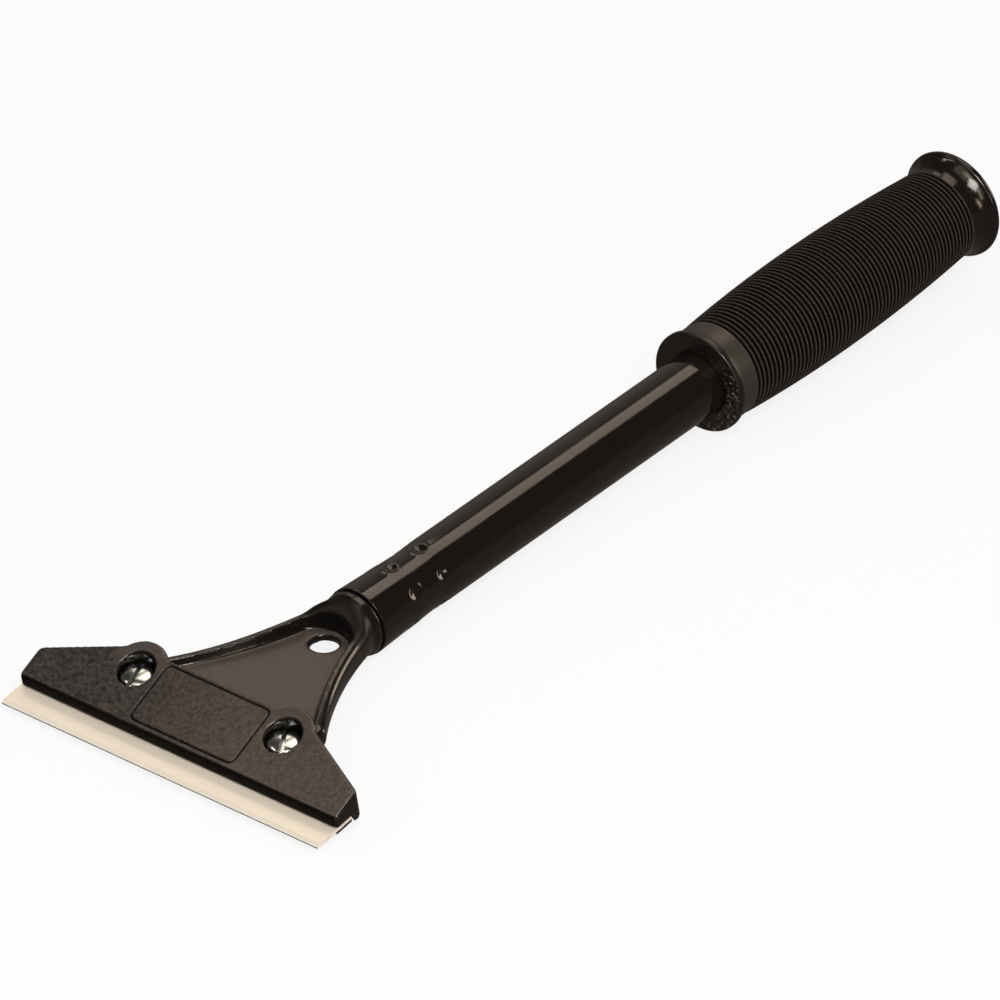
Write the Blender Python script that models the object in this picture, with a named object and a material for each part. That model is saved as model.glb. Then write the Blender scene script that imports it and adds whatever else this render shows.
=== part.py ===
"""Long-handled hand scraper for algae: cast head, clamped steel blade, crimped steel tube and ribbed rubber grip.

The tool frame has X across the blade, Y along the tube from head to grip and Z up, with its origin at the middle
of the tube's mouth. The jaw frame sits on the blade seat, midway between the two clamp screws, and is tilted with
the blade: its Y runs back along the blade and its Z is square to it. The finished tool lies on the mouth of its
tube and on the front flange of its grip, with the world's origin under its middle.
"""
import itertools
import math

import bmesh
import bpy
from mathutils import Matrix
from mathutils import Vector

MM = 0.001

# Fits between pieces
GAP = 0.3 * MM
HEAD_CLEARANCE = 0.5 * MM
HOLE_CLEARANCE = 0.35 * MM
CUT_OVERRUN = 4.0 * MM

# Blade
BLADE_LENGTH = 100.0 * MM
BLADE_DEPTH = 12.7 * MM
BLADE_THICKNESS = 0.8 * MM
BLADE_GRIND = 1.8 * MM
BLADE_EDGE = 0.12 * MM

# Jaw, measured along and square to the blade
JAW_TILT = math.radians(7.5)
JAW_SLOPE = math.radians(17.0)
JAW_REACH = 13.4 * MM
JAW_NOSE = 3.3 * MM
JAW_END_DEPTH = 8.6 * MM
JAW_EDGE_ROUND = 0.6 * MM
JAW_CORNER_ROUND = 1.0 * MM
SKIRT_WALL = 2.4 * MM
BOSS_RADIUS = 8.1 * MM
BOSS_SHOULDER = math.radians(33.0)
BOSS_BACK = math.radians(43.0)
BOSS_STEPS = 12
LABEL_LENGTH = 32.6 * MM
LABEL_FRONT_MARGIN = 2.3 * MM
LABEL_BACK_MARGIN = 1.3 * MM
LABEL_CORNER = 1.6 * MM
LABEL_CORNER_STEPS = 4
LABEL_LINE = 0.6 * MM
LABEL_LINE_DEPTH = 0.4 * MM

# Clamp plate and screws
PLATE_LIP = 0.9 * MM
PLATE_FRONT_INSET = 0.5 * MM
PLATE_END_INSET = 0.4 * MM
PLATE_CHAMFER = 0.4 * MM
SCREW_SPACING = 46.6 * MM
SCREW_SEAT = 3.2 * MM
SCREW_HEAD_DIAMETER = 8.6 * MM
SCREW_HEAD_HEIGHT = 2.8 * MM
SCREW_HEAD_RIM = 1.5 * MM
SCREW_DIAMETER = 4.8 * MM
SCREW_TAIL = 0.6 * MM
SLOT_WIDTH = 1.2 * MM
SLOT_DEPTH = 1.3 * MM
SLOT_ANGLES = {"left": math.radians(100.0), "right": math.radians(120.0)}

# Neck and spigot
NECK_REACH = 53.4 * MM
SEAT_DROP = 0.5 * MM
NECK_STEP = 0.3 * MM
NECK_STRAIGHT = 3.5 * MM
NECK_HALF_HEIGHT = 3.7 * MM
NECK_LAND = 2.4 * MM
NECK_SHOULDER = 7.2 * MM
UNDER_LAND = 1.0 * MM
UNDER_SHOULDER = 3.8 * MM
SHOULDER_STEPS = 7
FLARE_LAND = 11.3 * MM
FLARE_INSET = 5.4 * MM
FLARE_START = math.radians(12.0)
FLARE_STEPS = 8
ROUND_POWER = 2.0
FLAT_POWER = 4.5
NECK_SIDES = 40
WEB_TOP = 0.6 * MM
WEB_THICKNESS = 1.6 * MM
RIB_WIDTH = 2.6 * MM
RIB_DRAFT = 0.5 * MM
RECESS_START = 7.0 * MM
UNDER_START = 5.0 * MM
RECESS_END_STEPS = 8
HANG_HOLE_DIAMETER = 8.2 * MM
HANG_HOLE_REACH = 12.3 * MM
SPIGOT_LENGTH = 31.0 * MM
SPIGOT_NOSE = 1.2 * MM
GROOVE_WIDTH = 5.2 * MM
GROOVE_DEPTH = 0.9 * MM

# Tube
TUBE_DIAMETER = 17.0 * MM
TUBE_WALL = 1.2 * MM
TUBE_SHOWN = 131.3 * MM
MOUTH_DIAMETER = 18.2 * MM
MOUTH_TAPER = 21.5 * MM
CRIMP_DIAMETER = 16.5 * MM
CRIMP_LENGTH = 2.5 * MM
CRIMP_RUN_OUT = 3.5 * MM
DENT_ROWS = (13.3 * MM, 24.0 * MM)
DENTS_PER_ROW = 6
DENT_RADIUS = 1.6 * MM
DENT_DEPTH = 0.8 * MM
DENT_BULGE = 0.8 * MM
TUBE_SIDES = 36

# Grip, measured back from its front face
GRIP_LENGTH = 104.5 * MM
GRIP_FLOOR = 4.0 * MM
FLANGE_DIAMETER = 27.6 * MM
FLANGE_THICKNESS = 2.2 * MM
FLANGE_ROUND = 0.7 * MM
COLLAR_DIAMETER = 26.0 * MM
COLLAR_LENGTH = 6.3 * MM
BARREL_FRONT_DIAMETER = 26.4 * MM
BARREL_DIAMETER = 29.3 * MM
BARREL_PEAK = 47.0 * MM
BARREL_BACK_DIAMETER = 25.1 * MM
RIB_PITCH = 1.47 * MM
RIB_DEPTH = 0.55 * MM
BELL_LENGTH = 7.8 * MM
BELL_DIAMETER = 29.4 * MM
BELL_RIM = 2.4 * MM
BELL_DISH = 1.0 * MM
BELL_DISH_MARGIN = 3.5 * MM
BELL_ROLL_START = math.radians(150.0)
BELL_STEPS = 6
GRIP_SIDES = 28

SCREW_SIDES = 24
SCREW_DOME_STEPS = 4
MERGE = 0.001 * MM

# Sizes that follow from the ones above
JAW_HALF = BLADE_LENGTH / 2
SCREW_X = SCREW_SPACING / 2
JAW_END_BACK = JAW_END_DEPTH - JAW_REACH
BLADE_TOP = -GAP
BLADE_BOTTOM = BLADE_TOP - BLADE_THICKNESS
PLATE_TOP = BLADE_BOTTOM - GAP
PLATE_BOTTOM = PLATE_TOP - PLATE_LIP
NECK_RADIUS = MOUTH_DIAMETER / 2 - NECK_STEP
TUBE_LENGTH = TUBE_SHOWN + GRIP_LENGTH - GRIP_FLOOR - GAP


def clear_scene():
    for obj in list(bpy.data.objects):
        bpy.data.objects.remove(obj, do_unlink=True)


def paint(name, colour, roughness, metallic):
    """One surface finish."""
    material = bpy.data.materials.new(name)
    material.use_nodes = True
    shader = material.node_tree.nodes["Principled BSDF"]
    shader.inputs["Base Color"].default_value = (*colour, 1.0)
    shader.inputs["Roughness"].default_value = roughness
    shader.inputs["Metallic"].default_value = metallic
    return material


def frame_empty(name, parent, location, tilt):
    empty = bpy.data.objects.new(name, None)
    bpy.context.collection.objects.link(empty)
    empty.parent = parent
    empty.location = location
    empty.rotation_euler = (tilt, 0.0, 0.0)
    return empty


def add_object(name, shape, parent, location=(0.0, 0.0, 0.0), turn=0.0):
    """Put a finished bmesh in the scene as a named object, smooth apart from its real edges."""
    bmesh.ops.recalc_face_normals(shape, faces=shape.faces)
    mesh = bpy.data.meshes.new(name)
    shape.to_mesh(mesh)
    shape.free()
    mesh.shade_smooth()
    mesh.set_sharp_from_angle(angle=math.radians(35.0))
    obj = bpy.data.objects.new(name, mesh)
    bpy.context.collection.objects.link(obj)
    obj.parent = parent
    obj.location = location
    obj.rotation_euler = (0.0, 0.0, turn)
    return obj


def add_piece(name, shape, parent, material, location=(0.0, 0.0, 0.0), turn=0.0):
    obj = add_object(name, shape, parent, location, turn)
    obj.data.materials.append(material)
    return obj


def add_cutter(name, shape, parent):
    obj = add_object(name, shape, parent)
    obj.hide_render = True
    obj.display_type = "WIRE"
    return obj


def combine(obj, other, operation):
    modifier = obj.modifiers.new(other.name, "BOOLEAN")
    modifier.operation = operation
    modifier.solver = "EXACT"
    modifier.object = other


def closed_face(shape, points):
    return shape.faces.new([shape.verts.new(point) for point in points])


def raise_face(shape, face, lift):
    """Extrude a face along Z and return the new vertices."""
    grown = bmesh.ops.extrude_face_region(shape, geom=[face])["geom"]
    verts = [item for item in grown if isinstance(item, bmesh.types.BMVert)]
    bmesh.ops.translate(shape, verts=verts, vec=(0.0, 0.0, lift))
    return verts


def prism(outline, low, high):
    """Upright solid over a plan outline of (x, y) points."""
    shape = bmesh.new()
    face = closed_face(shape, [(x, y, low) for x, y in outline])
    raise_face(shape, face, high - low)
    return shape


def turned(profile, sides):
    """Solid of revolution about Y from (y, radius) points that start and end on the axis."""
    shape = bmesh.new()
    verts = [shape.verts.new((0.0, y, -radius)) for y, radius in profile]
    edges = [shape.edges.new(pair) for pair in zip(verts, verts[1:])]
    bmesh.ops.spin(
        shape, geom=verts + edges, cent=(0.0, 0.0, 0.0), axis=(0.0, 1.0, 0.0), dvec=(0.0, 0.0, 0.0),
        angle=2 * math.pi, steps=sides, use_merge=True, use_duplicate=False)
    bmesh.ops.remove_doubles(shape, verts=shape.verts, dist=MERGE)
    return shape


def upright(shape):
    """Turn a solid made about Y so that its axis stands along Z."""
    bmesh.ops.rotate(shape, verts=shape.verts, cent=(0, 0, 0), matrix=Matrix.Rotation(math.pi / 2, 3, "X"))
    return shape


def loft(rings):
    """Skin a row of closed rings with equal counts, and cap both ends."""
    shape = bmesh.new()
    loops = [[shape.verts.new(point) for point in ring] for ring in rings]
    for near, far in zip(loops, loops[1:]):
        for i in range(len(near)):
            j = (i + 1) % len(near)
            shape.faces.new((near[i], near[j], far[j], far[i]))
    shape.faces.new(loops[0])
    shape.faces.new(loops[-1])
    return shape


def arc(centre, radius, start, end, steps):
    """Points on an arc, both ends included."""
    angles = [start + (end - start) * i / steps for i in range(steps + 1)]
    return [(centre[0] + radius * math.cos(a), centre[1] + radius * math.sin(a)) for a in angles]


def inset_path(path, distance):
    """Move an open plan path to its left by a distance, with mitred corners."""
    points = [Vector(point) for point in path]
    runs = [(b - a).normalized() for a, b in zip(points, points[1:])]
    moved = []
    for i, point in enumerate(points):
        before = runs[max(i - 1, 0)]
        after = runs[min(i, len(runs) - 1)]
        normal = (Vector((-before.y, before.x)) + Vector((-after.y, after.x))).normalized()
        moved.append(point + normal * distance / normal.dot(Vector((-after.y, after.x))))
    return [tuple(point) for point in moved]


def end_at_width(path, half_width):
    """Slide both ends of a path along their end runs until they stand at the given half width."""
    ends = []
    for inner, outer, x in ((path[1], path[0], half_width), (path[-2], path[-1], -half_width)):
        share = (x - inner[0]) / (outer[0] - inner[0])
        ends.append((x, inner[1] + share * (outer[1] - inner[1])))
    return [ends[0], *path[1:-1], ends[1]]


def mirrored(path):
    """A path from the right-hand side, carried on round to the left."""
    return [*path, *[(-x, y) for x, y in reversed(path)]]


def jaw_back_path():
    """Back of the jaw in plan: straight shoulder, round boss and straight back edge, right to left."""
    boss = arc((SCREW_X, 0.0), BOSS_RADIUS, BOSS_SHOULDER, math.pi - BOSS_BACK, BOSS_STEPS)
    return mirrored([(JAW_HALF, JAW_END_BACK), *boss])


def with_front(path, half_width, front):
    """Close a back path with a straight front edge."""
    return [*path, (-half_width, front), (half_width, front)]


def jaw_top(y):
    """Height of the sloping top face over the blade seat."""
    return JAW_NOSE + (y + JAW_REACH) * math.tan(JAW_SLOPE)


def jaw_shape():
    outline = with_front(jaw_back_path(), JAW_HALF, -JAW_REACH)
    shape = bmesh.new()
    base = closed_face(shape, [(x, y, PLATE_BOTTOM) for x, y in outline])
    top = raise_face(shape, base, 1.0)
    for vert in top:
        vert.co.z = jaw_top(vert.co.y)
    corners = [edge for edge in shape.edges if all(abs(abs(v.co.x) - JAW_HALF) < MERGE for v in edge.verts)
               and abs(edge.verts[0].co.y - edge.verts[1].co.y) < MERGE]
    bmesh.ops.bevel(
        shape, geom=corners, offset=JAW_CORNER_ROUND, segments=3, profile=0.5, affect="EDGES", material=-1)
    rim = [edge for edge in shape.edges if all(abs(v.co.z - jaw_top(v.co.y)) < MERGE for v in edge.verts)]
    bmesh.ops.bevel(
        shape, geom=rim, offset=JAW_EDGE_ROUND, segments=2, profile=0.5, affect="EDGES", material=-1)
    return shape


def flare_arc():
    """Centre and radius of the neck's side, an arc that leaves the tube at a slight angle and reaches the boss."""
    across = SCREW_X + BOSS_RADIUS - FLARE_INSET - NECK_RADIUS
    along = NECK_REACH - FLARE_LAND - NECK_STRAIGHT
    forward = across * math.sin(FLARE_START) + along * math.cos(FLARE_START)
    sideways = across * math.cos(FLARE_START) - along * math.sin(FLARE_START)
    radius = (forward ** 2 + sideways ** 2) / (2 * sideways)
    return (NECK_RADIUS + radius * math.cos(FLARE_START), radius * math.sin(FLARE_START) - NECK_STRAIGHT), radius


def neck_half_width(y):
    (cx, cy), radius = flare_arc()
    reach = min(max(y, FLARE_LAND - NECK_REACH), -NECK_STRAIGHT) - cy
    return cx - math.sqrt(radius ** 2 - reach ** 2)


def shoulder_share(y, land, run):
    """How far the neck has risen from its flat bar to the round end at the tube."""
    share = min(max((y + land + run) / run, 0.0), 1.0)
    return 0.5 - 0.5 * math.cos(math.pi * share)


def neck_ring(y):
    """Section of the neck: a flat bar with round corners, and round at the tube."""
    over = shoulder_share(y, NECK_LAND, NECK_SHOULDER)
    under = shoulder_share(y, UNDER_LAND, UNDER_SHOULDER)
    half_width = neck_half_width(y)
    ring = []
    for i in range(NECK_SIDES):
        angle = 2 * math.pi * i / NECK_SIDES
        across = math.cos(angle)
        up = math.sin(angle)
        rise = over if up >= 0 else under
        half_height = NECK_HALF_HEIGHT + (NECK_RADIUS - NECK_HALF_HEIGHT) * rise
        power = FLAT_POWER + (ROUND_POWER - FLAT_POWER) * rise
        x = half_width * math.copysign(abs(across) ** (2 / power), across)
        z = half_height * math.copysign(abs(up) ** (2 / power), up)
        ring.append((x, y, z))
    return ring


def neck_shape():
    flat = NECK_REACH - FLARE_LAND
    foot = NECK_LAND + NECK_SHOULDER
    flare = [-flat + (flat - foot) * i / FLARE_STEPS for i in range(FLARE_STEPS)]
    shoulder = [-foot + (foot - UNDER_LAND) * i / SHOULDER_STEPS for i in range(SHOULDER_STEPS + 1)]
    return loft([neck_ring(y) for y in (-NECK_REACH, *flare, *shoulder, -GAP)])


def recess_outline(inset, start):
    """Plan of the recess between the ribs, set in from the neck's sides, with a round end behind the hang hole."""
    centre, radius = flare_arc()
    wide = radius + inset
    near = math.asin((HANG_HOLE_REACH + centre[1]) / wide)
    far = math.asin((NECK_REACH - FLARE_LAND + centre[1]) / wide)
    side = arc(centre, wide, math.pi + far, math.pi + near, FLARE_STEPS)
    half_width = side[-1][0]
    run = HANG_HOLE_REACH - start - (inset - RIB_WIDTH)
    angles = [math.pi / 2 * i / RECESS_END_STEPS for i in range(1, RECESS_END_STEPS)]
    end = [(half_width * math.cos(a), run * math.sin(a) - HANG_HOLE_REACH) for a in angles]
    right = [(side[0][0], -NECK_REACH - CUT_OVERRUN), *side, *end]
    return [*right, (0.0, run - HANG_HOLE_REACH), *[(-x, y) for x, y in reversed(right)]]


def recess_shape():
    """Cutter for the recesses over and under the web, narrower at the web than at the rib tops."""
    shape = bmesh.new()
    deep = NECK_RADIUS + CUT_OVERRUN
    for web, far, start in ((WEB_TOP, deep, RECESS_START), (WEB_TOP - WEB_THICKNESS, -deep, UNDER_START)):
        levels = ((web, RIB_WIDTH + RIB_DRAFT), (far, RIB_WIDTH - RIB_DRAFT))
        join_shape(shape, loft([[(x, y, z) for x, y in recess_outline(inset, start)] for z, inset in levels]))
    return shape


def join_shape(shape, part):
    """Add one bmesh to another as a separate body."""
    mesh = bpy.data.meshes.new("joined")
    part.to_mesh(mesh)
    part.free()
    shape.from_mesh(mesh)
    bpy.data.meshes.remove(mesh)


def cylinder(diameter, low, high, x=0.0, y=0.0):
    """Upright cylinder at a place in plan."""
    shape = upright(turned([(low, 0.0), (low, diameter / 2), (high, diameter / 2), (high, 0.0)], SCREW_SIDES))
    bmesh.ops.translate(shape, verts=shape.verts, vec=(x, y, 0.0))
    return shape


def tube_outer():
    """(y, radius) along the outside of the tube: tapered mouth, crimp and straight run."""
    return [
        (0.0, MOUTH_DIAMETER / 2),
        (MOUTH_TAPER, CRIMP_DIAMETER / 2),
        (MOUTH_TAPER + CRIMP_LENGTH, CRIMP_DIAMETER / 2),
        (MOUTH_TAPER + CRIMP_LENGTH + CRIMP_RUN_OUT, TUBE_DIAMETER / 2),
        (TUBE_LENGTH, TUBE_DIAMETER / 2),
    ]


def tube_radius(y):
    points = tube_outer()
    for (y0, r0), (y1, r1) in zip(points, points[1:]):
        if y <= y1:
            return r0 + (r1 - r0) * (y - y0) / (y1 - y0)
    return points[-1][1]


def spigot_radius(y):
    """The spigot fills the tube up to the crimp and keeps that size beyond it."""
    return tube_radius(min(y, MOUTH_TAPER)) - TUBE_WALL - GAP


def spigot_shape():
    """Turned spigot with a groove under each row of dents."""
    profile = [(-NECK_STRAIGHT, 0.0), (-NECK_STRAIGHT, spigot_radius(0.0)), (0.0, spigot_radius(0.0))]
    for row in DENT_ROWS:
        for side in (-1, 1):
            y = row + side * GROOVE_WIDTH / 2
            rim = (y, spigot_radius(y))
            floor = (y - side * GROOVE_DEPTH, spigot_radius(y) - GROOVE_DEPTH)
            profile += [rim, floor] if side < 0 else [floor, rim]
    end = spigot_radius(SPIGOT_LENGTH)
    profile += [(SPIGOT_LENGTH - SPIGOT_NOSE, end), (SPIGOT_LENGTH, end - SPIGOT_NOSE), (SPIGOT_LENGTH, 0.0)]
    return turned(profile, TUBE_SIDES)


def clamp_pocket_shape():
    """Room under the jaw for the blade and the clamp plate, open to the front and at both ends."""
    half = JAW_HALF + CUT_OVERRUN
    path = end_at_width(inset_path(jaw_back_path(), SKIRT_WALL), half)
    return prism(with_front(path, half, -JAW_REACH - CUT_OVERRUN), PLATE_BOTTOM - CUT_OVERRUN, 0.0)


def screw_bores_shape():
    """Counterbore and through hole for each screw."""
    shape = bmesh.new()
    bore = SCREW_HEAD_DIAMETER + 2 * HEAD_CLEARANCE
    hole = SCREW_DIAMETER + 2 * HOLE_CLEARANCE
    top = jaw_top(BOSS_RADIUS) + CUT_OVERRUN
    profile = [(-CUT_OVERRUN, 0.0), (-CUT_OVERRUN, hole / 2), (SCREW_SEAT, hole / 2), (SCREW_SEAT, bore / 2),
               (top, bore / 2), (top, 0.0)]
    for x in (-SCREW_X, SCREW_X):
        part = upright(turned(profile, SCREW_SIDES))
        bmesh.ops.translate(part, verts=part.verts, vec=(x, 0.0, 0.0))
        join_shape(shape, part)
    return shape


def rounded_rectangle(half_length, front, back, corner):
    """Plan outline with round corners, anticlockwise from the front right."""
    spots = ((half_length - corner, front + corner, -90), (half_length - corner, back - corner, 0),
             (corner - half_length, back - corner, 90), (corner - half_length, front + corner, 180))
    outline = []
    for x, y, start in spots:
        outline += arc((x, y), corner, math.radians(start), math.radians(start + 90), LABEL_CORNER_STEPS)
    return outline


def label_line_shape():
    """Cutter for the fine groove that frames the bare label panel on the jaw's top face."""
    front = LABEL_FRONT_MARGIN - JAW_REACH
    back = BOSS_RADIUS * math.sin(BOSS_BACK) - LABEL_BACK_MARGIN
    outer = rounded_rectangle(LABEL_LENGTH / 2, front, back, LABEL_CORNER)
    inner = rounded_rectangle(LABEL_LENGTH / 2 - LABEL_LINE, front + LABEL_LINE, back - LABEL_LINE,
                              LABEL_CORNER - LABEL_LINE)
    rings = [[(x, y, jaw_top(y) + rise) for x, y in outline]
             for outline, rise in ((outer, CUT_OVERRUN), (outer, -LABEL_LINE_DEPTH),
                                   (inner, -LABEL_LINE_DEPTH), (inner, CUT_OVERRUN))]
    shape = bmesh.new()
    loops = [[shape.verts.new(point) for point in ring] for ring in rings]
    for near, far in zip(loops, [*loops[1:], loops[0]]):
        for i in range(len(near)):
            j = (i + 1) % len(near)
            shape.faces.new((near[i], near[j], far[j], far[i]))
    return shape


def build_head(tool, jaw, material):
    head = add_piece("head_casting", jaw_shape(), jaw, material)
    neck = add_cutter("neck_form", neck_shape(), tool)
    combine(neck, add_cutter("web_recess_cut", recess_shape(), tool), "DIFFERENCE")
    hole = cylinder(HANG_HOLE_DIAMETER, -NECK_RADIUS, NECK_RADIUS, y=-HANG_HOLE_REACH)
    combine(neck, add_cutter("hang_hole_cut", hole, tool), "DIFFERENCE")
    combine(head, neck, "UNION")
    combine(head, add_cutter("spigot_form", spigot_shape(), tool), "UNION")
    combine(head, add_cutter("clamp_pocket_cut", clamp_pocket_shape(), jaw), "DIFFERENCE")
    combine(head, add_cutter("screw_bores_cut", screw_bores_shape(), jaw), "DIFFERENCE")
    combine(head, add_cutter("label_line_cut", label_line_shape(), jaw), "DIFFERENCE")


def blade_back():
    """The blade's back corners stop against the ends of the jaw's skirt."""
    path = end_at_width(inset_path(jaw_back_path(), SKIRT_WALL), JAW_HALF)
    return path[0][1] - GAP


def blade_section():
    """(y, z) outline of the blade in the jaw frame, ground on its upper side."""
    back = blade_back()
    edge = back - BLADE_DEPTH
    return [(back, BLADE_BOTTOM), (back, BLADE_TOP), (edge + BLADE_GRIND, BLADE_TOP),
            (edge, BLADE_BOTTOM + BLADE_EDGE), (edge, BLADE_BOTTOM)]


def build_blade(jaw, material):
    section = blade_section()
    shape = loft([[(x, y, z) for y, z in section] for x in (-JAW_HALF, JAW_HALF)])
    add_piece("blade", shape, jaw, material)


def build_plate(jaw, material):
    half = JAW_HALF - PLATE_END_INSET
    front = PLATE_FRONT_INSET - JAW_REACH
    path = end_at_width(inset_path(jaw_back_path(), SKIRT_WALL + GAP), half)
    shape = prism(with_front(path, half, front), PLATE_BOTTOM, -GAP)
    nose = [edge for edge in shape.edges
            if all(abs(v.co.y - front) < GAP / 2 and abs(v.co.z - PLATE_BOTTOM) < GAP / 2 for v in edge.verts)]
    bmesh.ops.bevel(
        shape, geom=nose, offset=PLATE_CHAMFER, segments=1, profile=0.5, affect="EDGES", material=-1)
    plate = add_piece("clamp_plate", shape, jaw, material)
    wide = JAW_HALF + CUT_OVERRUN
    step_back = blade_back() + GAP
    step = [(-wide, front - CUT_OVERRUN), (wide, front - CUT_OVERRUN), (wide, step_back), (-wide, step_back)]
    combine(plate, add_cutter("blade_step_cut", prism(step, PLATE_TOP, CUT_OVERRUN), jaw), "DIFFERENCE")
    holes = bmesh.new()
    for x in (-SCREW_X, SCREW_X):
        join_shape(holes, cylinder(SCREW_DIAMETER + 2 * GAP, PLATE_BOTTOM - CUT_OVERRUN, CUT_OVERRUN, x=x))
    combine(plate, add_cutter("tapped_holes_cut", holes, jaw), "DIFFERENCE")


def screw_shape():
    """Pan head on a plain shank, standing on the jaw frame's Z axis."""
    seat = SCREW_SEAT + GAP
    rim = SCREW_HEAD_DIAMETER / 2
    tail = PLATE_BOTTOM - SCREW_TAIL
    dome = SCREW_HEAD_HEIGHT - SCREW_HEAD_RIM
    profile = [(tail, 0.0), (tail, SCREW_DIAMETER / 2), (seat, SCREW_DIAMETER / 2), (seat, rim)]
    for i in range(SCREW_DOME_STEPS):
        angle = math.pi / 2 * i / SCREW_DOME_STEPS
        profile.append((seat + SCREW_HEAD_RIM + dome * math.sin(angle), rim * math.cos(angle)))
    profile.append((seat + SCREW_HEAD_HEIGHT, 0.0))
    return upright(turned(profile, SCREW_SIDES))


def build_screws(jaw, material):
    top = SCREW_SEAT + GAP + SCREW_HEAD_HEIGHT
    reach = SCREW_HEAD_DIAMETER
    slot = [(-reach, -SLOT_WIDTH / 2), (reach, -SLOT_WIDTH / 2), (reach, SLOT_WIDTH / 2), (-reach, SLOT_WIDTH / 2)]
    for side, x in (("left", -SCREW_X), ("right", SCREW_X)):
        screw = add_piece(f"clamp_screw_{side}", screw_shape(), jaw, material, (x, 0.0, 0.0), SLOT_ANGLES[side])
        cut = add_cutter(f"slot_{side}_cut", prism(slot, top - SLOT_DEPTH, top + CUT_OVERRUN), screw)
        combine(screw, cut, "DIFFERENCE")


def dents_shape(radius):
    """A ball over each punched dent, in two rows round the tube."""
    shape = bmesh.new()
    for row in DENT_ROWS:
        stand_off = tube_radius(row) + DENT_RADIUS - DENT_DEPTH
        for i in range(DENTS_PER_ROW):
            angle = math.pi / 2 + 2 * math.pi * i / DENTS_PER_ROW
            spot = Matrix.Translation((stand_off * math.cos(angle), row, stand_off * math.sin(angle)))
            bmesh.ops.create_uvsphere(shape, u_segments=12, v_segments=8, radius=radius, matrix=spot)
    return shape


def build_tube(tool, material):
    outer = tube_outer()
    bar = [(outer[0][0], 0.0), *outer, (outer[-1][0], 0.0)]
    tube = add_piece("handle_tube", turned(bar, TUBE_SIDES), tool, material)
    inner = [(y, radius - TUBE_WALL) for y, radius in outer]
    start = (-CUT_OVERRUN, inner[0][1])
    end = (TUBE_LENGTH + CUT_OVERRUN, inner[-1][1])
    bore = [(start[0], 0.0), start, *inner, end, (end[0], 0.0)]
    bore_cut = add_cutter("tube_bore_cut", turned(bore, TUBE_SIDES), tool)
    combine(bore_cut, add_cutter("dent_bulges_cut", dents_shape(DENT_RADIUS + DENT_BULGE), tool), "DIFFERENCE")
    combine(tube, bore_cut, "DIFFERENCE")
    combine(tube, add_cutter("dents_cut", dents_shape(DENT_RADIUS), tool), "DIFFERENCE")


def barrel_radius(y):
    """Outside of the barrel grip, fullest at its peak."""
    start = FLANGE_THICKNESS + COLLAR_LENGTH
    end = GRIP_LENGTH - BELL_LENGTH
    if y < BARREL_PEAK:
        share = (BARREL_PEAK - y) / (BARREL_PEAK - start)
        drop = BARREL_DIAMETER - BARREL_FRONT_DIAMETER
    else:
        share = (y - BARREL_PEAK) / (end - BARREL_PEAK)
        drop = BARREL_DIAMETER - BARREL_BACK_DIAMETER
    return (BARREL_DIAMETER - drop * share * share) / 2


def grip_outside():
    """(y, radius) along the outside of the grip, from its front face to the middle of its back."""
    flange = FLANGE_DIAMETER / 2
    profile = [
        (0.0, flange - FLANGE_ROUND),
        (FLANGE_ROUND, flange),
        (FLANGE_THICKNESS - FLANGE_ROUND, flange),
        (FLANGE_THICKNESS, COLLAR_DIAMETER / 2),
    ]
    start = FLANGE_THICKNESS + COLLAR_LENGTH
    end = GRIP_LENGTH - BELL_LENGTH
    count = round((end - start) / RIB_PITCH)
    pitch = (end - start) / count
    profile.append((start, COLLAR_DIAMETER / 2))
    for i in range(count):
        crest = start + (i + 0.5) * pitch
        valley = start + (i + 1) * pitch
        profile.append((crest, barrel_radius(crest)))
        profile.append((valley, barrel_radius(valley) - RIB_DEPTH))
    low = profile[-1][1]
    roll = BELL_RIM / 2
    rim = arc((GRIP_LENGTH - roll, BELL_DIAMETER / 2 - roll), roll, BELL_ROLL_START, 0.0, BELL_STEPS)
    for i in range(1, BELL_STEPS):
        share = i / BELL_STEPS
        profile.append((end + (rim[0][0] - end) * share, low + (rim[0][1] - low) * share ** 2))
    floor = GRIP_LENGTH - BELL_DISH
    return [*profile, *rim, (floor, rim[-1][1] - BELL_DISH_MARGIN), (floor, 0.0)]


def build_grip(tool, material):
    bore = TUBE_DIAMETER / 2 + GAP
    floor = GRIP_LENGTH - GRIP_FLOOR
    profile = [(floor, 0.0), (floor, bore), (0.0, bore), *grip_outside()]
    moved = [(TUBE_SHOWN + y, radius) for y, radius in profile]
    add_piece("grip", turned(moved, GRIP_SIDES), tool, material)


def resting_tilt(low, far):
    """Tilt that brings a point at the front and a point of the grip to one height."""
    return math.atan2(low[1] - far[1], far[0] - low[0])


def table_contact(front, grip):
    """The front point and the grip point whose common line leaves every other point above it."""
    def lowest(pair):
        low, far = pair
        tilt = resting_tilt(low, far)
        return min((y - low[0]) * math.sin(tilt) + (z - low[1]) * math.cos(tilt) for y, z in front + grip)

    return max(itertools.product(front, grip), key=lowest)


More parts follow.
